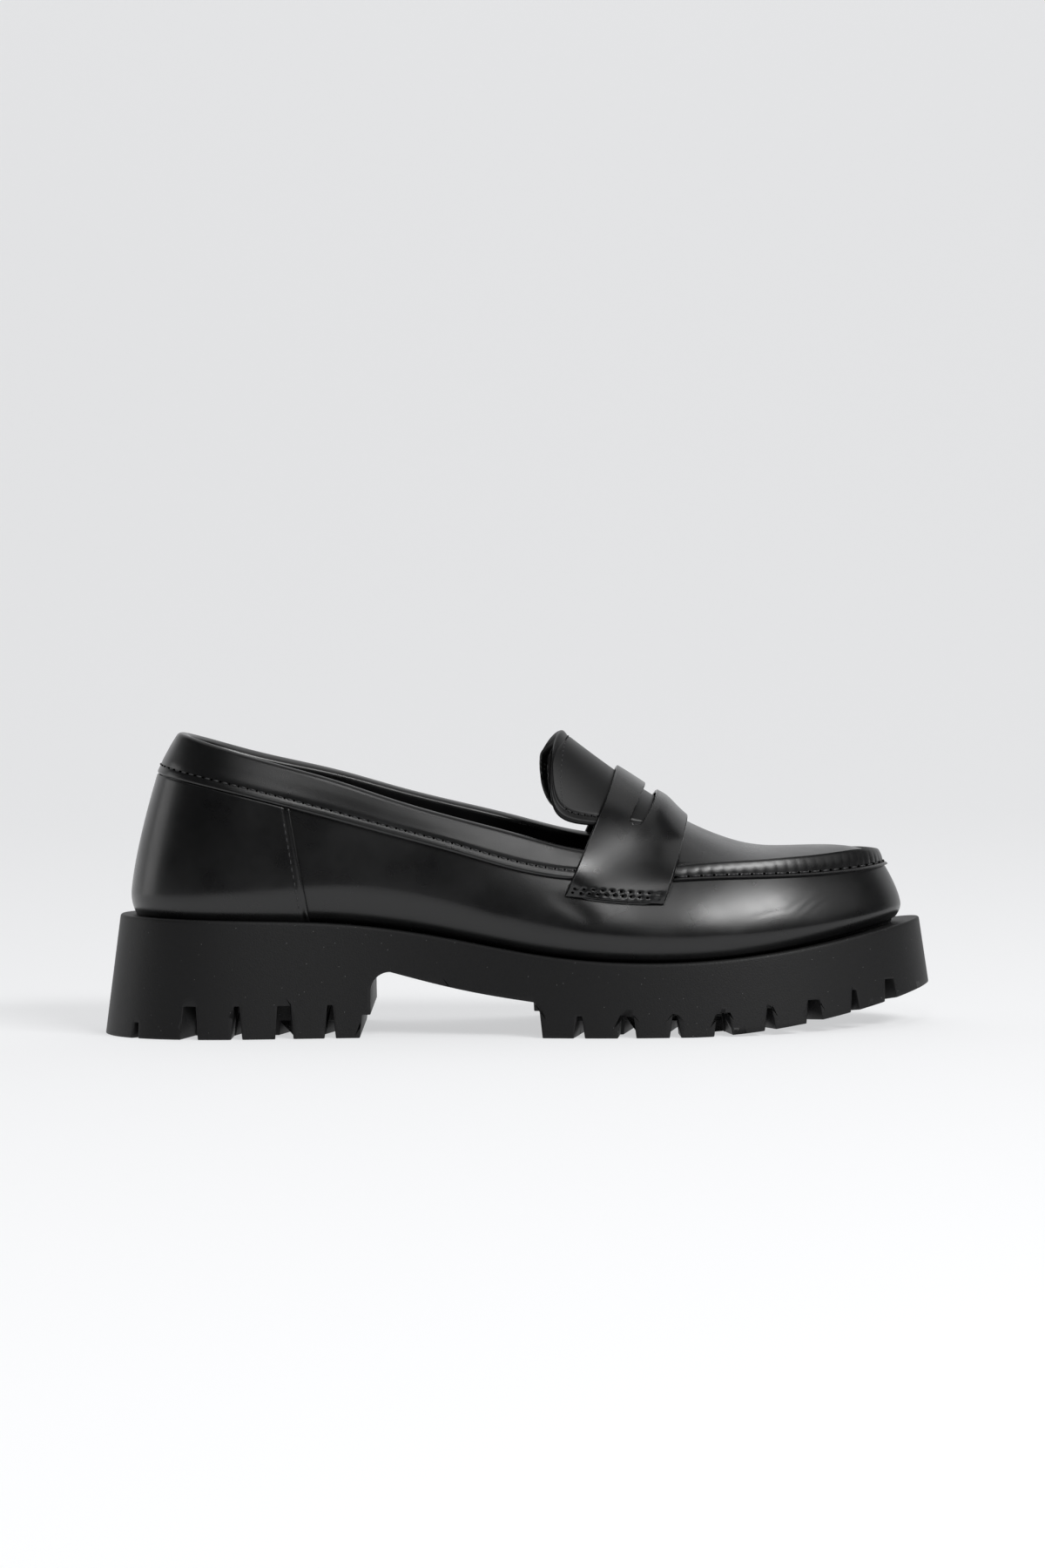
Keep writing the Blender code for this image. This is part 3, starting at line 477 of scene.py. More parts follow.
def lay_sheet(name, grid, material, slot, around=False, fill=False, even=True, thick=0.0, edge=0.0):
    """A sheet over a grid of points, closed along its first direction if around, with its open ends filled
    if fill. thick gives it its leather's thickness, and edge rounds its cut edges."""
    if around:
        grid = np.concatenate([grid, grid[:1]])
    rows, cols = grid.shape[:2]
    bm = bmesh.new()
    bmesh.ops.create_grid(bm, x_segments=rows - 1, y_segments=cols - 1, size=0.5)
    for v in bm.verts:
        i, j = round((v.co.x + 0.5) * (rows - 1)), round((v.co.y + 0.5) * (cols - 1))
        v.co = grid[i, j]
    if around or fill:
        bmesh.ops.remove_doubles(bm, verts=bm.verts, dist=WELD)
    centre = rows // 2, cols // 2
    face_up, spot = Vector(outward_normals(grid)[centre]), Vector(grid[centre])
    bm.normal_update()
    middle = min(bm.faces, key=lambda f: (f.calc_center_median() - spot).length)
    if middle.normal.dot(face_up) < 0:
        bmesh.ops.reverse_faces(bm, faces=bm.faces)
    if fill:
        bmesh.ops.holes_fill(bm, edges=[e for e in bm.edges if e.is_boundary])
        bmesh.ops.recalc_face_normals(bm, faces=bm.faces)
    piece = new_piece(name, bm, material, slot)
    if thick:
        wall = piece.modifiers.new("leather thickness", "SOLIDIFY")
        wall.thickness = thick * MM
        wall.offset = -1.0
        wall.use_even_offset = even
    if edge:
        round_edges(piece, edge)
    return piece


def settle(piece):
    """Applies the piece's modifiers."""
    made = bpy.data.meshes.new_from_object(piece.evaluated_get(bpy.context.evaluated_depsgraph_get()))
    piece.modifiers.clear()
    piece.data = made
    return piece


def round_edges(piece, width, degrees=40.0):
    """Rounds the edges where two faces meet at more than these degrees, and keeps every point of the
    rounding close to the surface that it started from."""
    settle(piece)
    before = BVHTree.FromObject(piece, bpy.context.evaluated_depsgraph_get())
    bevel = piece.modifiers.new("rounded edges", "BEVEL")
    bevel.width = width * MM
    bevel.segments = 2
    bevel.limit_method = "ANGLE"
    bevel.angle_limit = math.radians(degrees)
    bevel.use_clamp_overlap = False
    bevel.spread = width * MM
    settle(piece)
    farthest = 0.5 * width * MM
    for v in piece.data.vertices:
        near, normal, face, distance = before.find_nearest(v.co)
        if distance > farthest:
            v.co = near


def cut(target, cutter):
    """Cuts one piece with another, which is then thrown away."""
    boolean = target.modifiers.new("cut", "BOOLEAN")
    boolean.operation = "DIFFERENCE"
    boolean.solver = "EXACT"
    boolean.object = cutter
    settle(target)
    bpy.data.objects.remove(cutter)


def only_points(geometry):
    """The vertices among what a bmesh operator made."""
    return [g for g in geometry if isinstance(g, bmesh.types.BMVert)]


def draw_out(bm, way):
    """Makes a closed bar of a bmesh that holds one face, by drawing that face along way."""
    made = bmesh.ops.extrude_face_region(bm, geom=list(bm.faces))
    bmesh.ops.translate(bm, vec=way, verts=only_points(made["geom"]))
    bmesh.ops.recalc_face_normals(bm, faces=bm.faces)


def stations(per_side, crowding=0.35):
    """q of the sections all round, crowded a little at the heel and the toe."""
    share = np.arange(per_side + 1) / per_side
    spread = share - crowding * np.sin(2 * math.pi * share) / (2 * math.pi)
    return np.concatenate([-spread, spread[-2:0:-1]])


# Finishes

LEATHER_BLACK = (0.0035, 0.0035, 0.0037)
BAND_BLACK = (0.004, 0.004, 0.0042)
LINING_BLACK = (0.022, 0.022, 0.023)
RUBBER_BLACK = (0.006, 0.006, 0.0063)
DUST = (0.16, 0.16, 0.16)

# Grain: cells in a metre, how far they are bent, and the heights of grain and stipple, in metres
GRAIN_SCALE = 3400.0
GRAIN_WARP = (0.0006, 0.0006, 0.0006)
GRAIN_RELIEF = 0.00004
STIPPLE_RELIEF = 0.00012


def material_named(name, colour, roughness, **values):
    """A finish with these values set on its shader, each named as the shader's input is."""
    made = bpy.data.materials.new(name)
    made.use_nodes = True
    shader = made.node_tree.nodes["Principled BSDF"]
    shader.inputs["Base Color"].default_value = (*colour, 1.0)
    shader.inputs["Roughness"].default_value = roughness
    for socket, value in values.items():
        shader.inputs[socket.replace("_", " ")].default_value = value
    return made


def node(tree, kind, inputs=(), **settings):
    """Adds a node, sets its properties, and sets or links its inputs by name."""
    made = tree.nodes.new("ShaderNode" + kind)
    for key, value in settings.items():
        setattr(made, key, value)
    for key, value in dict(inputs).items():
        if isinstance(value, bpy.types.NodeSocket):
            tree.links.new(value, made.inputs[key])
        else:
            made.inputs[key].default_value = value
    return made


def new_group(name, inputs, outputs):
    """A shader node group with float inputs and the named outputs."""
    tree = bpy.data.node_groups.new(name, "ShaderNodeTree")
    for key, value in inputs.items():
        tree.interface.new_socket(key, in_out="INPUT", socket_type="NodeSocketFloat").default_value = value
    for key in outputs:
        tree.interface.new_socket(key, in_out="OUTPUT", socket_type="NodeSocketFloat")
    return tree, tree.nodes.new("NodeGroupInput"), tree.nodes.new("NodeGroupOutput")


def noise(tree, place, scale, detail, **more):
    """Soft noise from 0 to 1."""
    values = {"Vector": place, "Scale": scale, "Detail": detail, **more}
    return node(tree, "TexNoise", values).outputs["Fac"]


def reckon(tree, operation, *values):
    """One step of arithmetic on numbers or sockets."""
    return node(tree, "Math", dict(enumerate(values)), operation=operation).outputs[0]


def remap(tree, value, span, result):
    """Carries a value's span over to another one."""
    ends = {"From Min": span[0], "From Max": span[1], "To Min": result[0], "To Max": result[1]}
    return node(tree, "MapRange", {"Value": value, **ends}).outputs["Result"]


def blend(tree, share, one, other, **settings):
    """Mixes two colours, by number or by socket."""
    colours = {"Factor": share, 6: one, 7: other}
    return node(tree, "Mix", colours, data_type="RGBA", **settings).outputs[2]


def feed(tree, **sources):
    """Links each source to the finish's input of that name."""
    shader = tree.nodes["Principled BSDF"]
    for socket, source in sources.items():
        tree.links.new(source, shader.inputs[socket.replace("_", " ")])


def bumped(tree, height, strength, distance):
    """The direction of a surface that this height has roughened."""
    return node(tree, "Bump", {"Strength": strength, "Distance": distance, "Height": height}).outputs["Normal"]


def leather_grain_group():
    """Height of fine leather grain and slow hand-worn unevenness, and a slow patch mask for the gloss."""
    tree, given, out = new_group("leather grain", {"Grain": 1.0, "Scale": GRAIN_SCALE}, ("Height", "Patches"))
    place = node(tree, "TexCoord").outputs["Object"]
    warp = node(tree, "TexNoise", {"Vector": place, "Scale": 260.0, "Detail": 1.0})
    bent = node(tree, "VectorMath", {0: warp.outputs["Color"], 1: GRAIN_WARP}, operation="MULTIPLY")
    moved = node(tree, "VectorMath", {0: place, 1: bent.outputs[0]}, operation="ADD")
    spread = {"Vector": moved.outputs[0], "Scale": given.outputs["Scale"]}
    cells = node(tree, "TexVoronoi", spread, feature="F1")
    fine, slow = noise(tree, place, 3200.0, 1.0), noise(tree, place, 95.0, 2.0)
    pebble = reckon(tree, "MULTIPLY", cells.outputs["Distance"], -0.55)
    grainy = reckon(tree, "MULTIPLY_ADD", fine, 0.35, pebble)
    scaled = reckon(tree, "MULTIPLY", grainy, given.outputs["Grain"])
    tree.links.new(reckon(tree, "MULTIPLY_ADD", slow, 0.5, scaled), out.inputs["Height"])
    tree.links.new(noise(tree, place, 38.0, 3.0, Roughness=0.65), out.inputs["Patches"])
    return tree


def leather_finish(name, grain, colour, roughness, strength, coat=0.0, specular=0.5):
    """Black leather: grain and slow unevenness as bump, and gloss and tone that differ in patches."""
    made = material_named(name, colour, roughness, Coat_Weight=coat, Coat_Roughness=0.2,
                          Specular_IOR_Level=specular)
    tree = made.node_tree
    grained = node(tree, "Group", {"Grain": 1.0, "Scale": GRAIN_SCALE}, node_tree=grain)
    height, patches = grained.outputs["Height"], grained.outputs["Patches"]
    shade = remap(tree, patches, (0.25, 0.75), (0.75, 1.3))
    feed(tree, Normal=bumped(tree, height, strength, GRAIN_RELIEF),
         Roughness=remap(tree, patches, (0.3, 0.7), (roughness - 0.05, roughness + 0.07)),
         Base_Color=blend(tree, 1.0, (*colour, 1.0), shade, blend_type="MULTIPLY"))
    return made


def rubber_finish():
    """Matt black rubber with a fine moulded stipple and a few pale specks of dust."""
    made = material_named("moulded_rubber", RUBBER_BLACK, 0.5, Specular_IOR_Level=0.3)
    tree = made.node_tree
    place = node(tree, "TexCoord").outputs["Object"]
    stipple, slow = noise(tree, place, 1800.0, 2.0, Roughness=0.6), noise(tree, place, 120.0, 1.0)
    height = reckon(tree, "MULTIPLY_ADD", slow, 0.8, stipple)
    specks = node(tree, "TexVoronoi", {"Vector": place, "Scale": 420.0})
    dusty = remap(tree, specks.outputs["Distance"], (0.035, 0.05), (1.0, 0.0))
    feed(tree, Normal=bumped(tree, height, 0.55, STIPPLE_RELIEF),
         Base_Color=blend(tree, dusty, (*RUBBER_BLACK, 1.0), (*DUST, 1.0)))
    return made


grain = leather_grain_group()
POLISHED = leather_finish("polished_black_leather", grain, LEATHER_BLACK, 0.29, 0.5, coat=0.12)
BAND_LEATHER = leather_finish("collar_leather", grain, BAND_BLACK, 0.30, 0.6, coat=0.2)
TONGUE_LEATHER = leather_finish("tongue_top_leather", grain, LEATHER_BLACK, 0.4, 0.5, specular=0.3)
LINING = leather_finish("lining_leather", grain, LINING_BLACK, 0.55, 0.5)
THREAD = material_named("waxed_black_thread", (0.02, 0.02, 0.021), 0.45)
HOLE = material_named("stitch_hole_shadow", (0.001, 0.001, 0.001), 1.0, Specular_IOR_Level=0.0)
RUBBER = rubber_finish()


# Upper: walls, apron and lining

VAMP_CREASES = (
    # side, from x, z, to x, z, bow, width, depth
    (-1, 88.0, 39.0, 99.0, 46.0, 0.8, 0.7, 0.035),
    (-1, 92.0, 38.5, 102.0, 45.0, 0.7, 0.6, 0.04),
    (-1, 96.0, 38.0, 105.0, 44.0, 0.6, 0.6, 0.03),
    (-1, 84.0, 41.0, 92.0, 47.0, 0.6, 0.9, 0.035),
    (-1, 76.0, 38.0, 92.0, 41.0, 0.5, 0.8, 0.03),
    (-1, 60.0, 33.0, 74.0, 30.0, -0.8, 1.6, 0.08),
    (-1, 10.0, 47.0, 26.0, 36.0, 1.0, 3.0, 0.25),
    (-1, -20.0, 52.0, -4.0, 40.0, 1.2, 4.0, 0.2),
    (1, 88.0, 39.0, 99.0, 46.0, 0.8, 0.8, 0.035),
    (1, 94.0, 38.5, 104.0, 45.0, 0.7, 0.7, 0.04),
)
WALL_STATIONS = 240
WALL_TOP_UNDER_SEAM = 0.2
LINING_UNDER_SEAM = 1.0


def apron_share(wall):
    """0 where a section ends at the collar, 1 where it ends at the apron."""
    return smooth(COLLAR_END_X + COLLAR_LAP, APRON_START_X, wall.x)


def make_walls():
    """Vamp and quarters: the outer leather from the feather edge up to the apron seam and the topline."""
    wall = Wall(stations(WALL_STATIONS))
    top = mix(wall.top_z, wall.seam_z - WALL_TOP_UNDER_SEAM, apron_share(wall))
    heights = rows_between(wall.base, wall.belly_z, 9) + rows_between(wall.belly_z, top, 44)[1:]
    grid = np.stack([wall.point(z) for z in heights], axis=1)
    grid = creased(grid, outward_normals(grid, around=True), VAMP_CREASES)
    piece = lay_sheet("vamp_and_quarters", grid, POLISHED, "upper_leather", around=True, thick=OUTER_LEATHER)
    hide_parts("upper")


# Raised apron seam, from the lip's cut edge to the groove inside the ridge
APRON_SEAM = (
    # outward distance from the stitch line, height over it, share of the ridge's height, how much it puckers
    (1.9, -0.95, 0.0, 0.0),
    (1.75, -0.55, 0.0, 0.0),
    (1.3, -0.3, 0.0, 0.1),
    (0.75, -0.12, 0.0, 0.4),
    (0.3, -0.1, 0.0, 0.9),
    (0.1, 0.0, 0.1, 1.0),
    (-0.05, 0.0, 0.32, 0.6),
    (-0.4, 0.0, 0.58, 0.3),
    (-0.85, 0.0, 0.8, 0.12),
    (-1.3, 0.0, 0.95, 0.0),
    (-1.75, 0.0, 1.0, 0.0),
    (-2.3, 0.0, 0.9, 0.0),
)
APRON_PITCH = 4.3      # from one stitch to the next
PUCKER = 0.2           # how far each stitch pulls the seam in
PUCKER_CURVE = 0.7
APRON_ROWS = 46        # from the groove back to the throat
APRON_UNDER_STRAP = 6.0      # how far it runs on behind its visible start
STITCHES_UNDER_STRAP = 2.0
STITCH_LEAN = 1.2            # upward share of the way its stitches face


def apron_profile(wall):
    """Points across the apron in each section: the seam's rows, the groove, and the plug to the throat."""
    groove_x, groove_y = wall.plan(wall.seam + GROOVE_IN)
    crest = wall.plan(wall.seam - APRON_SEAM[-2][0])
    at_toe = RIDGE_AT_TOE * smooth(*RIDGE_RISE_X, crest[0])
    ridge = arch(*crest) + RIDGE_OVER_APRON + at_toe - wall.seam_z
    run = wall.q * np.where(wall.q > 0, rim.length(1), rim.length(-1))
    pull = PUCKER * np.abs(np.sin(math.pi * run / APRON_PITCH)) ** PUCKER_CURVE
    rows = []
    for outward, over, share, puckers in APRON_SEAM:
        x, y = wall.plan(wall.seam - outward - puckers * (pull - PUCKER / 2))
        rows.append(points(x, y, wall.seam_z + over + ridge * share))
    side = np.where(wall.q > 0, 1, -1)
    lateral, medial = both_sides(APRON_START_X)
    start = np.where(side > 0, medial, -lateral)
    across = side * np.clip((1 - np.abs(wall.q)) / (1 - start), 0, 1)
    behind = np.maximum(0, start - np.abs(wall.q)) * rim.length(-1)
    end_x = THROAT_X - THROAT_BOW * across ** 2 - behind
    end_y = THROAT_HALF * across + midline(THROAT_X)
    for share in np.linspace(0, 1, APRON_ROWS):
        x, y = mix(groove_x, end_x, share), mix(groove_y, end_y, share)
        rows.append(points(x, y, arch(x, y)))
    return rows


def refine(rows, times):
    """Smooth extra rows between the given ones, along a spline by distance."""
    stack = np.stack(rows)
    step = np.linalg.norm(np.diff(stack, axis=0), axis=-1).mean(axis=1)
    at = np.concatenate([[0], np.cumsum(step)])
    fine = np.interp(np.linspace(0, len(rows) - 1, (len(rows) - 1) * times + 1), range(len(rows)), at)
    spread = np.zeros((len(fine), *stack.shape[1:]))
    for i in range(stack.shape[1]):
        for c in range(3):
            spread[:, i, c] = cubic(at, stack[:, i, c])(fine)
    return list(spread)


def make_apron():
    """The moc-toe plug with its lip, ledge and raised seam."""
    rows = apron_profile(Wall(round_toe(APRON_START_X - APRON_UNDER_STRAP)))
    seam_rows = len(APRON_SEAM) + 1
    grid = np.stack(refine(rows[:seam_rows], 2)[:-1] + rows[seam_rows - 1:], axis=1)
    lay_sheet("apron", grid, POLISHED, "upper_leather", even=False, thick=APRON_LEATHER, edge=LEATHER_EDGE)


def make_lining():
    """The lining inside walls and apron."""
    wall = Wall(stations(150))
    share = apron_share(wall)[:, None]
    low = rows_between(wall.base, wall.belly_z, 4)
    low += rows_between(wall.belly_z, wall.seam_z - LINING_UNDER_SEAM, 10)[1:]
    rows = [wall.point(z) for z in low]
    front = apron_profile(wall)[len(APRON_SEAM):][::3]
    for k, row in enumerate(front):
        rear = wall.point(mix(wall.seam_z, wall.top_z, k / (len(front) - 1)))
        rows.append(mix(rear, row, share))
    guide = np.stack(rows, axis=1)
    inner = guide - (UPPER_WALL - LINING_WALL) * outward_normals(guide, around=True)
    inner[:, 0, 2] = guide[:, 0, 2]
    lay_sheet("upper_lining", inner, LINING, "lining", around=True, even=False, thick=LINING_WALL)


# Heel counter

COUNTER_SHARES = np.linspace(0, 1, 56)
COUNTER_BEAD = (0.35, 0.6, 0.55)      # height, distance from the front edge, width
COUNTER_FURROW = (0.25, 1.9, 0.5)     # depth, distance, width
COUNTER_FADE = 0.06                   # both die away over this share of its height at the bottom
COUNTER_STITCHES = 2.8                # their distance from the front edge
COUNTER_STITCH_SHARES = (0.06, 0.97)  # where they start and end, as shares of its height


def counter_height(wall, share):
    return mix(wall.base, wall.seam_z - GAP, share)


def counter_q(share, behind=0.0):
    """The two ends of the counter at a share of its height, some way behind its front edge."""
    return both_sides(mix(*COUNTER_EDGE, share) - behind)


def make_counter():
    """The counter panel, with a turned bead along its front edges."""
    along = np.linspace(0, 1, 301)
    lines = []
    for share in COUNTER_SHARES:
        low, high = counter_q(share)
        q = mix(low, high, along)
        wall = Wall(q)
        z = counter_height(wall, share)
        edge = np.minimum(q - low, high - q) * rim.length(-1)
        (high_bead, *bead), (deep, *furrow) = COUNTER_BEAD, COUNTER_FURROW
        relief = high_bead * bell(edge, *bead) - deep * bell(edge, *furrow)
        lines.append(wall.point(z, GAP + COUNTER_WALL + relief * smooth(0.0, COUNTER_FADE, share)))
    grid = np.stack(lines, axis=1)
    piece = lay_sheet("counter", grid, POLISHED, "upper_leather", thick=COUNTER_WALL, edge=LEATHER_EDGE)
    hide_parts("heel_counter")


# Collar band

BAND_SECTION = (
    # share of the way from the seam to the topline, millimetres over that, distance from the wall's outer face
    (0.0, 0.0, 0.35),
    (0.0, 0.0, 1.05),
    (0.0, 0.35, 1.4),
    (0.0, 1.0, 1.48),
    (0.0, 1.9, 1.45),
    (0.0, 2.6, 1.36),
    (0.0, 3.3, 1.47),
    (0.45, 0.0, 1.6),
    (0.7, 0.0, 1.68),
    (0.92, 0.0, 1.7),
    (1.0, 0.5, 1.45),
    (1.0, 1.15, 0.6),
    (1.0, 1.3, -0.9),
    (1.0, 1.15, -2.4),
    (1.0, 0.6, -3.3),
    (1.0, -0.6, -3.75),
    (1.0, -4.0, -3.8),
    (1.0, -8.6, -3.8),
    (1.0, -9.0, -3.5),
    (1.0, -9.0, -2.8),
)
BAND_STITCHES = (2.6, 1.5)     # their height over the band's lower edge, distance from the wall


def collar_wall():
    """The wall all round the foot opening, from one end of the strap to the other."""
    return Wall(np.linspace(*both_sides(COLLAR_END_X), 420))


def make_band():
    """The folded strip that binds the foot opening, outside, over the topline and inside."""
    wall = collar_wall()
    rows = []
    for share, over, outward in BAND_SECTION:
        rows.append(wall.point(mix(wall.seam_z, wall.top_z, share) + over, outward))
    grid = np.stack(refine(rows + rows[:1], 3), axis=1)
    piece = lay_sheet("collar_binding", grid, BAND_LEATHER, "upper_leather", fill=True)
    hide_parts("collar_band")


# Tongue

TONGUE_SEAM = 3.5            # from its edge to its row of stitches
TONGUE_LATERAL_EASE = 3.0    # how much further forward its outer edge lies than its inner one
TONGUE_EASE_SPAN = (0.35, 0.85)
TONGUE_SPREAD = 1.35         # how much its points crowd towards its edges
TONGUE_FACE = GAP * 1.3 + TONGUE_WALL    # from the surface it lies on to its outer face
TONGUE_ROLL = (0.3, 1.4, 0.9)            # its rolled border: height, distance from the edge, width
TONGUE_FURROW = (0.3, TONGUE_SEAM, 0.5)  # the stitches' furrow: depth, distance, width
TONGUE_ROUNDING = (0.7, 0.8)             # its rounded edge: drop, width
TONGUE_CENTRE = (28.0, 0.0, 80.0)        # a place that its edge runs round
tongue_edges = np.array(TONGUE_ROWS)


def tongue_point(along, across):
    """A point of the tongue's underside: along it from under the strap (0) to its top (1), across -1 to 1."""
    row = along * (len(TONGUE_ROWS) - 1)
    at = np.arange(len(TONGUE_ROWS))
    crown_x, edge_x, edge_y = (cubic(at, tongue_edges[:, c])(row) for c in range(3))
    w = np.sin(across * TONGUE_SPREAD) / math.sin(TONGUE_SPREAD)
    edge_x = edge_x + TONGUE_LATERAL_EASE * smooth(*TONGUE_EASE_SPAN, along) * np.maximum(0.0, -w)
    x, y = mix(crown_x, edge_x, w * w), edge_y * w + midline(crown_x)
    return points(x, y, arch(x, y))


def tongue_line(inside):
    """A line inside the tongue's free edge, up one side, round the top and down the other: points, normals."""
    count, start, samples, turn_rounds, path_rounds = 160, 0.2, 400, 30, 6
    ones = np.ones(count)
    along = np.concatenate([np.linspace(start, 1, count), ones, np.linspace(1, start, count)])
    across = np.concatenate([-ones, np.linspace(-1, 1, count), ones])
    path = tongue_point(along, across)
    run = distance_along(path)
    path = read_line(np.linspace(0, run[-1], samples), run, path)
    normals = surface_normal(path)
    way = unit(np.gradient(path, axis=0))
    for _ in range(turn_rounds):
        way[1:-1] = unit(way[:-2] + way[1:-1] + way[2:])
    inwards = np.cross(normals, way)
    inwards = inwards * np.sign((inwards * (TONGUE_CENTRE - path)).sum(axis=1, keepdims=True))
    path = path + inwards * inside
    for _ in range(path_rounds):
        path[1:-1] = (path[:-2] + path[1:-1] + path[2:]) / 3
    path[:, 2] = arch(path[:, 0], path[:, 1])
    normals = surface_normal(path)
    return path + normals * TONGUE_FACE, normals


def surface_normal(place):
    """Normals of the surface that the tongue lies on."""
    x, y, step = place[..., 0], place[..., 1], 0.5
    fall_x = (arch(x - step, y) - arch(x + step, y)) / (2 * step)
    fall_y = (arch(x, y - step) - arch(x, y + step)) / (2 * step)
    return unit(points(fall_x, fall_y, 1 + 0 * x))


def make_tongue():
    """The tongue, with a rolled border inside its edge and a furrow along its stitches."""
    along, across = np.meshgrid(np.linspace(0, 1, 150), np.linspace(-1, 1, 170), indexing="ij")
    grid = tongue_point(along, across)
    normals = surface_normal(grid)
    grid = grid + normals * TONGUE_FACE
    run = np.cumsum(np.linalg.norm(np.gradient(grid, axis=1), axis=2), axis=1)
    rise = np.cumsum(np.linalg.norm(np.gradient(grid, axis=0), axis=2), axis=0)
    side, top = np.minimum(run - run[:, :1], run[:, -1:] - run), rise[-1:] - rise
    sharp, least = 6.0, 0.02      # distance to the nearer edge, rounded at the corners
    away = ((side + least) ** -sharp + (top + least) ** -sharp) ** (-1 / sharp)
    (high, *roll), (deep, *furrow), (drop, width) = TONGUE_ROLL, TONGUE_FURROW, TONGUE_ROUNDING
    border = high * bell(away, *roll) - deep * bell(away, *furrow)
    border = border - drop * np.clip(1 - away / width, 0, 1) ** 2
    grid = grid + normals * border[..., None]
    piece = lay_sheet("tongue_leather", grid, TONGUE_LEATHER, "upper_leather", even=False, thick=TONGUE_WALL)
    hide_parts("tongue")


# Saddle strap

STRAP_TERMS = [2, 8]      # how freely its form may bend along and across the shoe
STRAP_ROWS = (0.02, 0.14, 0.26, 0.36, 0.64, 0.74, 0.86, 0.98)   # shares from the rear edge where it is read
STRAP_ANGLES = np.linspace(-0.985, 0.985, 71)                   # and angles
STRAP_CLEAR = 90          # percentage of the places read that end up under its form
SLOT_LIFT = 0.9           # the strap stands off the tongue along its cut-out, most in front of it
SLOT_LIFT_AT = (0.68, 0.16)      # share from the rear edge, width
SLOT_LIFT_ANGLE = 0.8            # its half length
SLOT_LIFT_CURVE = 1.5            # power of the way it dies away towards its ends
STRAP_SEAMS = (
    # name, angle, pitch of the holes
    ("upper_row", 0.953, 3.1),
    ("lower_row", 0.974, 2.8),
)
SEAM_SHARES = (0.02, 0.95)
SEAM_DEPTH = 0.25         # of the furrow along each row
SEAM_WIDTH = 0.009        # as an angle
SEAM_FADE = 0.05          # it dies away over this share at the rear edge
SEAM_PUCKER = 0.45        # how much of that depth comes and goes with the holes
STRAP_END_WIDTH = 32.9


def strap_rays(share, angle):
    """Pivot and direction of the strap's rays: share from its rear edge to its front one, angle -1 to 1."""
    pivot_x, crown_x, crown_z, end = (mix(a, b, share) for a, b in zip(STRAP_REAR, STRAP_FRONT))
    up = unit(points(crown_x - pivot_x, 0 * share, crown_z - STRAP_PIVOT_Z))
    turn = np.radians(end * angle)
    ray = up * np.cos(turn)[..., None]
    ray[..., 1] += np.sin(turn)
    return points(pivot_x, 0 * share, 0 * share + STRAP_PIVOT_Z), ray


def taut(turn, reach):
    """A line of the strap pulled tight over its high places, as leather is: it bridges the hollows."""
    line = np.stack([reach * np.sin(turn), reach * np.cos(turn)], axis=1)
    kept = [0]
    for k in range(1, len(line)):
        while len(kept) > 1:
            a, b = line[kept[-1]] - line[kept[-2]], line[k] - line[kept[-2]]
            if a[0] * b[1] - a[1] * b[0] < 0:
                break
            kept.pop()
        kept.append(k)
    tight = reach.copy()
    for i, j in zip(kept, kept[1:]):
        a, d = line[i], line[j] - line[i]
        for k in range(i + 1, j):
            tight[k] = (a[0] * d[1] - a[1] * d[0]) / (math.sin(turn[k]) * d[1] - math.cos(turn[k]) * d[0])
    return tight


def strap_form():
    """How far the strap's outer face lies from its pivot, as a smooth surface over share and angle: read
    from the CAD strap, pulled taut and carried over its slot."""
    tree = BVHTree.FromObject(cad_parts["saddle_strap"], bpy.context.evaluated_depsgraph_get())
    far, count = 95.0, len(STRAP_ANGLES)
    found = np.zeros((len(STRAP_ROWS), count))
    for i, share in enumerate(STRAP_ROWS):
        pivot, ray = strap_rays(np.full(count, share), STRAP_ANGLES)
        for j in range(count):
            outside, inwards = Vector((pivot[j] + ray[j] * far) * MM), Vector(-ray[j])
            place, normal, face, distance = tree.ray_cast(outside, inwards)
            found[i, j] = far - distance / MM if place is not None and distance < far * MM else np.nan
        real = np.flatnonzero(~np.isnan(found[i]))
        turn = np.radians(STRAP_ANGLES * mix(STRAP_REAR[3], STRAP_FRONT[3], share))
        found[i] = taut(turn, np.interp(np.arange(count), real, found[i, real]))
    rows, across = np.meshgrid(2 * np.array(STRAP_ROWS) - 1, STRAP_ANGLES, indexing="ij")
    terms = chebyshev.chebvander2d(rows.ravel(), across.ravel(), STRAP_TERMS)
    fit = np.linalg.lstsq(terms, found.ravel(), rcond=None)[0]
    short = found.ravel() - terms @ fit
    return fit, float(np.percentile(short, STRAP_CLEAR))


def strap_surface(share, angle):
    """Points of the strap's outer face at grids of share and angle."""
    fit, lift = STRAP_FORM
    terms = chebyshev.chebvander2d(2 * share.ravel() - 1, angle.ravel(), STRAP_TERMS)
    reach = (terms @ fit).reshape(share.shape) + lift
    sideways = np.clip(1 - (angle / SLOT_LIFT_ANGLE) ** 2, 0, 1) ** SLOT_LIFT_CURVE
    reach = reach + SLOT_LIFT * (bell(share, *SLOT_LIFT_AT) * sideways)
    for _, turn, pitch in STRAP_SEAMS:
        run = (share - SEAM_SHARES[0]) * STRAP_END_WIDTH / pitch - 0.5
        puckers = 1 - SEAM_PUCKER + SEAM_PUCKER * np.cos(2 * math.pi * run)
        furrow = SEAM_DEPTH * puckers * bell(np.abs(angle), turn, SEAM_WIDTH)
        reach = reach - furrow * smooth(0.0, SEAM_FADE, share)
    pivot, ray = strap_rays(share, angle)
    return pivot + ray * reach[..., None]


def squared(value, power):
    """A power of a value that keeps its sign: it makes an oval squarer."""
    return math.copysign(abs(value) ** power, value)


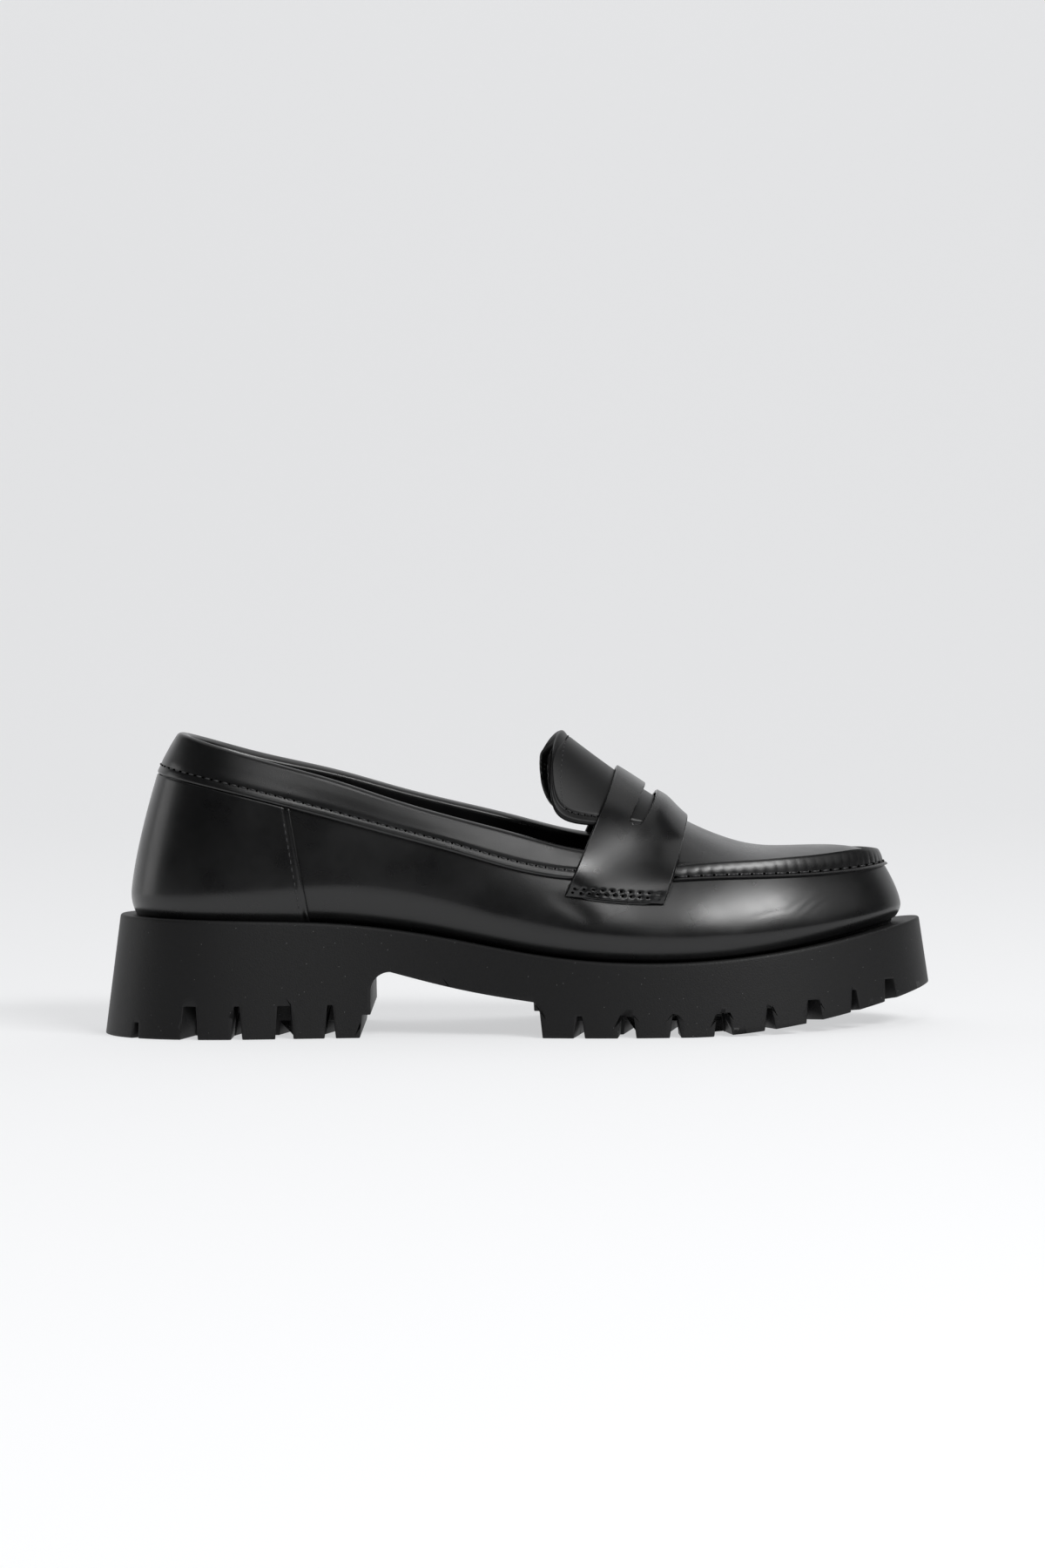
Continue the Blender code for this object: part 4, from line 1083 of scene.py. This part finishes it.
def slot_bar():
    """A leaning bar with the outline of the strap's cut-out, a little wider towards its rounded ends."""
    slope = math.radians(SLOT_SLOPE)
    down = np.array((math.cos(slope), 0.0, -math.sin(slope)))
    out = np.array((math.sin(slope), 0.0, math.cos(slope)))
    centre = np.array((SLOT_CENTRE[0], 0.0, SLOT_CENTRE[1]))
    bm = bmesh.new()
    bmesh.ops.create_circle(bm, cap_ends=True, radius=1.0, segments=72)
    for v in bm.verts:
        turn = math.atan2(v.co.y, v.co.x)
        y, x = squared(math.sin(turn), SLOT_SQUARE_ENDS), squared(math.cos(turn), SLOT_SQUARE_SIDES)
        half = mix(SLOT_MIDDLE, SLOT_END, y * y) / 2 * x
        v.co = centre + np.array((0.0, SLOT_HALF_LENGTH * y, 0.0)) + down * half - out * SLOT_BAR_UNDER
    draw_out(bm, out * SLOT_BAR_LENGTH)
    return new_piece("slot_bar", bm, HOLE, None)


def make_strap():
    """The saddle strap with its long cut-out."""
    ends = np.linspace(0.925, 1, 26)      # closer rows, for the furrows along the holes
    angles = np.concatenate([-ends[::-1], np.linspace(-0.92, 0.92, 200), ends])
    share, angle = np.meshgrid(np.linspace(0, 1, 110), angles, indexing="ij")
    grid = strap_surface(share, angle)
    piece = lay_sheet("strap", grid, POLISHED, "upper_leather", thick=STRAP_WALL)
    settle(piece)
    cut(piece, slot_bar())
    round_edges(piece, STRAP_EDGE, 50.0)
    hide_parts("saddle_strap")


def make_strap_lining():
    """The strap's second layer, which shows past its edges at both ends."""
    past_end, past_edge, under = 1.011, -0.004, STRAP_WALL + 0.1
    for side, name in ((-1, "strap_lining_outer_side"), (1, "strap_lining_inner_side")):
        angles = np.linspace(0.93, past_end, 14) * side
        share, angle = np.meshgrid(np.linspace(past_edge, 1.0, 40), angles, indexing="ij")
        ray = strap_rays(share, angle)[1]
        grid = strap_surface(share, angle) - ray * under
        lay_sheet(name, grid, BAND_LEATHER, "upper_leather", thick=LINING_WALL)


# Insole

INSOLE_CENTRE_X = (-95.0, 92.0)              # its rows close in on a line between these
INSOLE_SHARES = (0.0, 0.5, 0.8, 0.95, 1.0)   # of the way from that line to its edge
INSOLE_CROWN = 0.6                           # how much lower its edge lies


def make_insole():
    """The padded sock inside the shoe."""
    wall = Wall(stations(110))
    z = wall.base + GAP + INSOLE_THICK
    x, y = wall.plan(wall.inset(z) + (UPPER_WALL + INSOLE_CLEARANCE) * np.hypot(wall.lean(z), 1.0))
    centre_x = np.clip(x, *INSOLE_CENTRE_X)
    rows = []
    for share in INSOLE_SHARES:
        px = mix(centre_x, x, share)
        rows.append(points(px, y * share, sole_top(px) + GAP + INSOLE_THICK - INSOLE_CROWN * share ** 8))
    low = rows[-1].copy()
    low[:, 2] = sole_top(low[:, 0]) + GAP
    grid = np.stack([low, *rows[::-1]], axis=1)
    piece = lay_sheet("insole_sock", grid, LINING, "lining", around=True, fill=True)
    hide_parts("insole")


# Sole

def toe_spring(x):
    """Height of the sole's underside ahead of the heel's and the ball's flat treads."""
    end_x, end_z = TOE_SPRING_END
    share = (np.asarray(x, float) - TOE_SPRING_START) / (end_x - TOE_SPRING_START)
    return end_z * np.maximum(0.0, share) ** TOE_SPRING_CURVE


SOLE_EDGE = (
    # distance inside the top edge, height over it: the rounded edge and the flange that the upper stands on
    (0.0, -1.2),
    (0.02, -0.5),
    (0.12, -0.15),
    (0.4, 0.0),
    (0.9, 0.03),
    (2.0, 0.0),
    (4.0, -0.05),
    (9.0, -0.1),
)


def sole_block():
    """The sole drawn down from its top edge: its side slopes outwards towards the ground."""
    x, y, nx, ny = rim.at(stations(190))
    draft = SIDE_DRAFT + END_DRAFT * nx * nx
    rows = []
    for z in rows_between(-BELOW_GROUND, sole_top(x) + SOLE_EDGE[0][1], 14)[:-1]:
        out = draft * (sole_top(x) - z)
        rows.append(points(x + nx * out, y + ny * out, z))
    for inset, over in SOLE_EDGE:
        out = draft * np.maximum(0, -over) - inset
        px = x + nx * out
        rows.append(points(px, y + ny * out, sole_top(px) + over))
    return lay_sheet("sole_unit", np.stack(rows, axis=1), RUBBER, "sole_rubber", around=True, fill=True)


def side_silhouette():
    """The space under the sole, seen from the side: tread, breast, arch, lug step and toe spring."""
    far, deep, turns = 150.0, -2 * BELOW_GROUND, 10
    heel_lean, fore_lean = 0.8, 0.9
    lug_x, (top_x, top_z), (end_x, end_z) = HEEL_BREAST_X - LUG_STEP, ARCH_TOP, ARCH_END
    breast_top = top_z - BREAST_RADIUS
    line = [(-far, 0.0), (lug_x - heel_lean, 0.0), (lug_x, LUG_STEP_Z)]
    line += [(HEEL_BREAST_X, LUG_STEP_Z), (HEEL_BREAST_X, breast_top)]
    for k in range(1, turns):
        angle = math.pi - k / turns * math.pi / 2
        line.append((top_x + BREAST_RADIUS * math.cos(angle), breast_top + BREAST_RADIUS * math.sin(angle)))
    for share in np.linspace(0, 1, 16):
        sag = ARCH_SAG * math.sin(math.pi * share)
        line.append((mix(top_x, end_x, share), mix(top_z, end_z, share) - sag))
    line += [(end_x, FORE_STEP_Z), (FORE_LUG_X, FORE_STEP_Z), (FORE_LUG_X + fore_lean, 0.0)]
    line += [(x, float(toe_spring(x))) for x in np.linspace(TOE_SPRING_START, far, 40)]
    return line + [(far, deep), (-far, deep)]


def bar_across(name, outline, half):
    """A closed bar with this side outline, from one side of the shoe to the other."""
    bm = bmesh.new()
    bm.faces.new([bm.verts.new((x, -half, z)) for x, z in outline])
    draw_out(bm, (0, 2 * half, 0))
    return new_piece(name, bm, RUBBER, None)


def add_slot(bm, start, direction, length, top_z, bottom_z, widths):
    """A slot's space: narrow at the top and wider at the ground, running from start along direction."""
    side = np.array((-direction[1], direction[0]))
    slope = (widths[1] - widths[0]) / (top_z - bottom_z)
    cube = bmesh.ops.create_cube(bm, size=1.0)
    for v in cube["verts"]:
        z = top_z if v.co.z > 0 else bottom_z - BELOW_GROUND
        half = (widths[0] + slope * (top_z - z)) / 2
        centre = start + direction * (length if v.co.x > 0 else 0.0)
        v.co = (*(centre + side * half * (1 if v.co.y > 0 else -1)), z)


def add_channel(bm, lateral, medial):
    """A channel's space from one side slot to the other one, its middle pushed ahead."""
    middle_x = (lateral[0] + medial[0]) / 2 + CHANNEL_POINT
    ground = float(toe_spring(middle_x))
    top = CHANNEL_WIDTH / 2, ground + CHANNEL_DEPTH
    bottom = CHANNEL_WIDTH / 2 + CHANNEL_FLARE, ground - BELOW_GROUND
    cube = bmesh.ops.create_cube(bm, size=1.0)
    for v in cube["verts"]:
        end = medial if v.co.y > 0 else lateral
        half, z = top if v.co.z > 0 else bottom
        v.co = (end[0] + math.copysign(half, v.co.x), end[1], z)
    edges = dict.fromkeys(e for v in cube["verts"] for e in v.link_edges)
    long_edges = [e for e in edges if e.calc_length() > CHANNEL_SHORTEST]
    made = bmesh.ops.subdivide_edges(bm, edges=long_edges, cuts=1)
    bmesh.ops.translate(bm, vec=(CHANNEL_POINT, 0, 0), verts=only_points(made["geom_inner"]))


def slot_places():
    """Where the side slots are: (side, q, kind, depth), measured along the sole's edge."""
    places = []
    for side in (-1, 1):
        run = rim.length(side)
        heel_start = abs(rim.q_of_x(HEEL_BREAST_X - LUG_STEP, side)) * run
        fore_start = abs(rim.q_of_x(FORE_LUG_X, side)) * run
        for distance, kind in HEEL_SLOTS:
            depth = NOTCH_DEPTH if kind == "notch" else HEEL_SLOT_DEPTH
            places.append((side, side * (heel_start - distance) / run, kind, depth))
        for k in range(FORE_SLOT_COUNT + 1):
            kind = "notch" if k == FORE_SLOT_COUNT else ("narrow", "wide")[k % 2]
            depth = NOTCH_DEPTH * LAST_NOTCH_SHARE if kind == "notch" else FORE_SLOT_DEPTH
            distance = FORE_SLOT_START + FORE_SLOT_PITCH * k
            places.append((side, side * (fore_start + distance) / run, kind, depth))
    return places


def slot_spaces():
    """The side slots, and the channels that join them under the foot."""
    ends = {-1: [], 1: []}
    spaces = []
    for side in (-1, 1):
        bm = bmesh.new()
        for place_side, q, kind, depth in slot_places():
            if place_side != side:
                continue
            x, y, nx, ny = (float(v[0]) for v in rim.at(q))
            inward = -np.array((nx, ny))
            start = np.array((x, y)) - inward * SLOT_OUTSIDE
            ground = float(toe_spring(x))
            length = SLOT_OUTSIDE + SLOT_REACH * (NOTCH_REACH_SHARE if kind == "notch" else 1.0)
            add_slot(bm, start, inward, length, ground + depth, ground, SLOT_WIDTHS[kind])
            if kind != "notch":
                ends[side].append(start + inward * (length - CHANNEL_LAP))
        bmesh.ops.recalc_face_normals(bm, faces=bm.faces)
        spaces.append(new_piece("side_slots", bm, RUBBER, None))
    bm = bmesh.new()
    for lateral, medial in zip(ends[-1], ends[1]):
        if lateral[0] < LAST_CHANNEL_X:
            add_channel(bm, lateral, medial)
    bmesh.ops.recalc_face_normals(bm, faces=bm.faces)
    spaces.append(new_piece("tread_channels", bm, RUBBER, None))
    return spaces


def make_sole():
    """The moulded sole: its block, less the space under it, the tread's slots and its channels."""
    piece = sole_block()
    cut(piece, bar_across("ground_space", side_silhouette(), BEYOND_SOLE))
    for space in slot_spaces():
        cut(piece, space)
    round_edges(piece, SOLE_EDGE_ROUNDING)
    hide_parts("sole")


# Stitches

STITCH_READ = 0.4      # how far to each side of a stitch its direction is read
STITCH_DIP = 0.12      # how far its ends sink, as a share of its width
BETWEEN = 1.0          # start of a row of holes, half a pitch on from its stitches


def sew(name, lines, pitch, length, width, material, rise=0.0, start=0.5):
    """A row of stitches or holes along each (points, normals) line: small ovals that dip into the leather,
    the first one at start times the pitch."""
    bm = bmesh.new()
    for path, normals in lines:
        run = distance_along(path)
        count = int((run[-1] - pitch * start) / pitch)
        for s in (np.arange(count) + start) * pitch:
            centre, up = read_line(s, run, path), unit(read_line(s, run, normals))
            ahead = unit(read_line(s + STITCH_READ, run, path) - read_line(s - STITCH_READ, run, path))
            across = unit(np.cross(up, ahead))
            up = np.cross(ahead, across)
            ball = bmesh.ops.create_icosphere(bm, subdivisions=1, radius=1.0)
            for v in ball["verts"]:
                x, y, z = v.co
                v.co = (centre + up * rise + ahead * x * length / 2 + across * y * width / 2
                        + up * (z * width / 2 - STITCH_DIP * width * x * x))
    bmesh.ops.recalc_face_normals(bm, faces=bm.faces)
    new_piece(name, bm, material, "upper_leather")


def apron_line(outward, over):
    """The line of the apron's stitches, this far out from its seam and over it."""
    wall = Wall(round_toe(APRON_START_X - STITCHES_UNDER_STRAP))
    x, y = wall.plan(wall.seam - outward)
    return points(x, y, wall.seam_z + over), unit(points(wall.nx, wall.ny, 0 * wall.nx + STITCH_LEAN))


def counter_line(side, behind):
    """The line of the counter's stitches on one side, this far behind its front edge."""
    path, normals = [], []
    for share in np.linspace(*COUNTER_STITCH_SHARES, 60):
        wall = Wall(counter_q(share, behind)[0 if side < 0 else 1])
        z = counter_height(wall, share)
        path.append(wall.point(z, GAP + COUNTER_WALL)[0])
        normals.append(wall.normal(z)[0])
    return np.array(path), np.array(normals)


def band_line(up, outward):
    """The line of the collar band's stitches, this far up from its lower edge."""
    wall = collar_wall()
    z = wall.seam_z + up
    return wall.point(z, outward), wall.normal(z)


def strap_line(side, turn):
    """A row of holes near one end of the strap."""
    share = np.linspace(*SEAM_SHARES, 60)
    angle = np.full(len(share), side * turn)
    return strap_surface(share, angle), strap_rays(share, angle)[1]


def make_stitches():
    """Every row of stitches and holes: lines, pitch, length, width, material."""
    counter = [counter_line(side, COUNTER_STITCHES) for side in (-1, 1)]
    band, tongue = [band_line(*BAND_STITCHES)], [tongue_line(TONGUE_SEAM)]
    sew("apron_stitches", [apron_line(0.5, 0.1)], APRON_PITCH, 3.2, 0.8, THREAD)
    sew("apron_holes", [apron_line(0.45, 0.1)], APRON_PITCH, 1.1, 0.9, HOLE, start=BETWEEN)
    sew("counter_stitches", counter, 2.5, 1.9, 0.55, THREAD)
    sew("band_stitches", band, 3.2, 2.2, 0.6, THREAD)
    sew("band_holes", band, 3.2, 0.9, 0.7, HOLE, start=BETWEEN)
    sew("tongue_stitches", tongue, 2.2, 1.3, 0.5, THREAD, rise=-0.1)
    sew("tongue_holes", tongue, 2.2, 0.8, 0.8, HOLE, rise=-0.33, start=BETWEEN)
    for name, turn, pitch in STRAP_SEAMS:
        lines = [strap_line(side, turn) for side in (-1, 1)]
        sew("strap_holes_" + name, lines, pitch, 1.2, 0.9, HOLE, rise=0.05)


# Studio

PAPER = (0.40, 0.402, 0.406)
PAPER_LIGHT = (0.80, 0.805, 0.815)
PAPER_GLOW = 0.70      # the paper's own even light, which keeps its tone level
PALE_AIR = (0.835, 0.84, 0.845, 1.0)     # what the camera sees past the paper
DIM_AIR = (0.9, 0.95, 1.0, 1.0)          # what lights the shoe from there
DIM_AIR_STRENGTH = 0.02

LAMPS = (
    # name, place, aim, width, height, watts
    ("front_softbox", (1.1, -1.4, 1.3), (0.0, 0.0, 0.05), 1.2, 0.45, 34.0),
    ("front_card", (-0.1, -1.6, 1.35), (0.03, 0.0, 0.05), 0.3, 0.75, 5.0),
    ("top_light", (0.0, 0.5, 2.5), (0.0, 0.3, 0.0), 3.0, 2.2, 15.0),
    ("left_card", (-2.0, 0.35, 0.45), (0.0, 0.0, 0.06), 0.9, 0.9, 4.0),
    ("right_card", (1.9, -0.5, 1.1), (0.0, 0.0, 0.05), 0.9, 0.9, 1.5),
)


def make_paper():
    """A seamless sheet of pale paper: floor, curve and backdrop."""
    front, flat_end, radius, rise, width = -0.95, 1.6, 1.0, 3.2, 9.0
    flat, bend = flat_end - front, radius * math.pi / 2
    bm = bmesh.new()
    bmesh.ops.create_grid(bm, x_segments=2, y_segments=90, size=0.5)
    for v in bm.verts:
        s = (v.co.y + 0.5) * (flat + bend + rise)
        turn = min(max(s - flat, 0.0), bend) / radius
        y = front + min(s, flat) + radius * math.sin(turn)
        v.co = (v.co.x * width, y, radius * (1 - math.cos(turn)) + max(0.0, s - flat - bend))
    mesh = bpy.data.meshes.new("paper_sweep")
    bm.to_mesh(mesh)
    bm.free()
    mesh.shade_smooth()
    mesh.materials.append(material_named("studio_paper", PAPER, 0.9, Emission_Color=(*PAPER_LIGHT, 1.0),
                                         Emission_Strength=PAPER_GLOW, Specular_IOR_Level=0.0))
    put_in_scene("paper_sweep", mesh)


def make_studio():
    """Pale paper, a large soft light and a tall card in front, a wide light overhead, a card at each side."""
    make_paper()
    for name, place, aim, width, height, watts in LAMPS:
        light = bpy.data.lights.new(name, "AREA")
        light.shape = "RECTANGLE"
        light.size, light.size_y = width, height
        light.energy = watts
        lamp = put_in_scene(name, light)
        lamp.location = place
        lamp.rotation_euler = (Vector(aim) - Vector(place)).to_track_quat("-Z", "Y").to_euler()
    world = bpy.data.worlds.new("studio_air")
    world.use_nodes = True
    tree = world.node_tree
    dim = tree.nodes["Background"]
    dim.inputs["Color"].default_value = DIM_AIR
    dim.inputs["Strength"].default_value = DIM_AIR_STRENGTH
    pale = node(tree, "Background", {"Color": PALE_AIR, "Strength": 1.0})
    seen = node(tree, "MixShader", {0: node(tree, "LightPath").outputs["Is Camera Ray"],
                                    1: dim.outputs[0], 2: pale.outputs[0]})
    tree.links.new(seen.outputs[0], tree.nodes["World Output"].inputs["Surface"])
    bpy.context.scene.world = world


CAMERA_LENS = 101.88
CAMERA_PLACE = (0.0, -1.4975, 0.13455)
CAMERA_PAN, CAMERA_TILT, CAMERA_ROLL = -0.0833, -2.0075, -0.7      # degrees


def make_camera():
    """The photograph's view: nearly level with the shoe, from the outer side, a long lens 1.5 m away."""
    data = bpy.data.cameras.new("camera")
    data.sensor_width = 36.0
    data.lens = CAMERA_LENS
    camera = put_in_scene("camera", data)
    turn = Matrix.Identity(4)
    for degrees, axis in ((CAMERA_PAN, "Z"), (90 + CAMERA_TILT, "X"), (CAMERA_ROLL, "Z")):
        turn = turn @ Matrix.Rotation(math.radians(degrees), 4, axis)
    camera.matrix_world = Matrix.Translation(CAMERA_PLACE) @ turn
    bpy.context.scene.camera = camera
    bpy.context.scene.view_settings.view_transform = "Standard"


make_walls()
make_apron()
make_lining()
make_counter()
make_band()
make_tongue()
STRAP_FORM = strap_form()
make_strap()
make_strap_lining()
make_insole()
make_sole()
make_stitches()
make_studio()
make_camera()
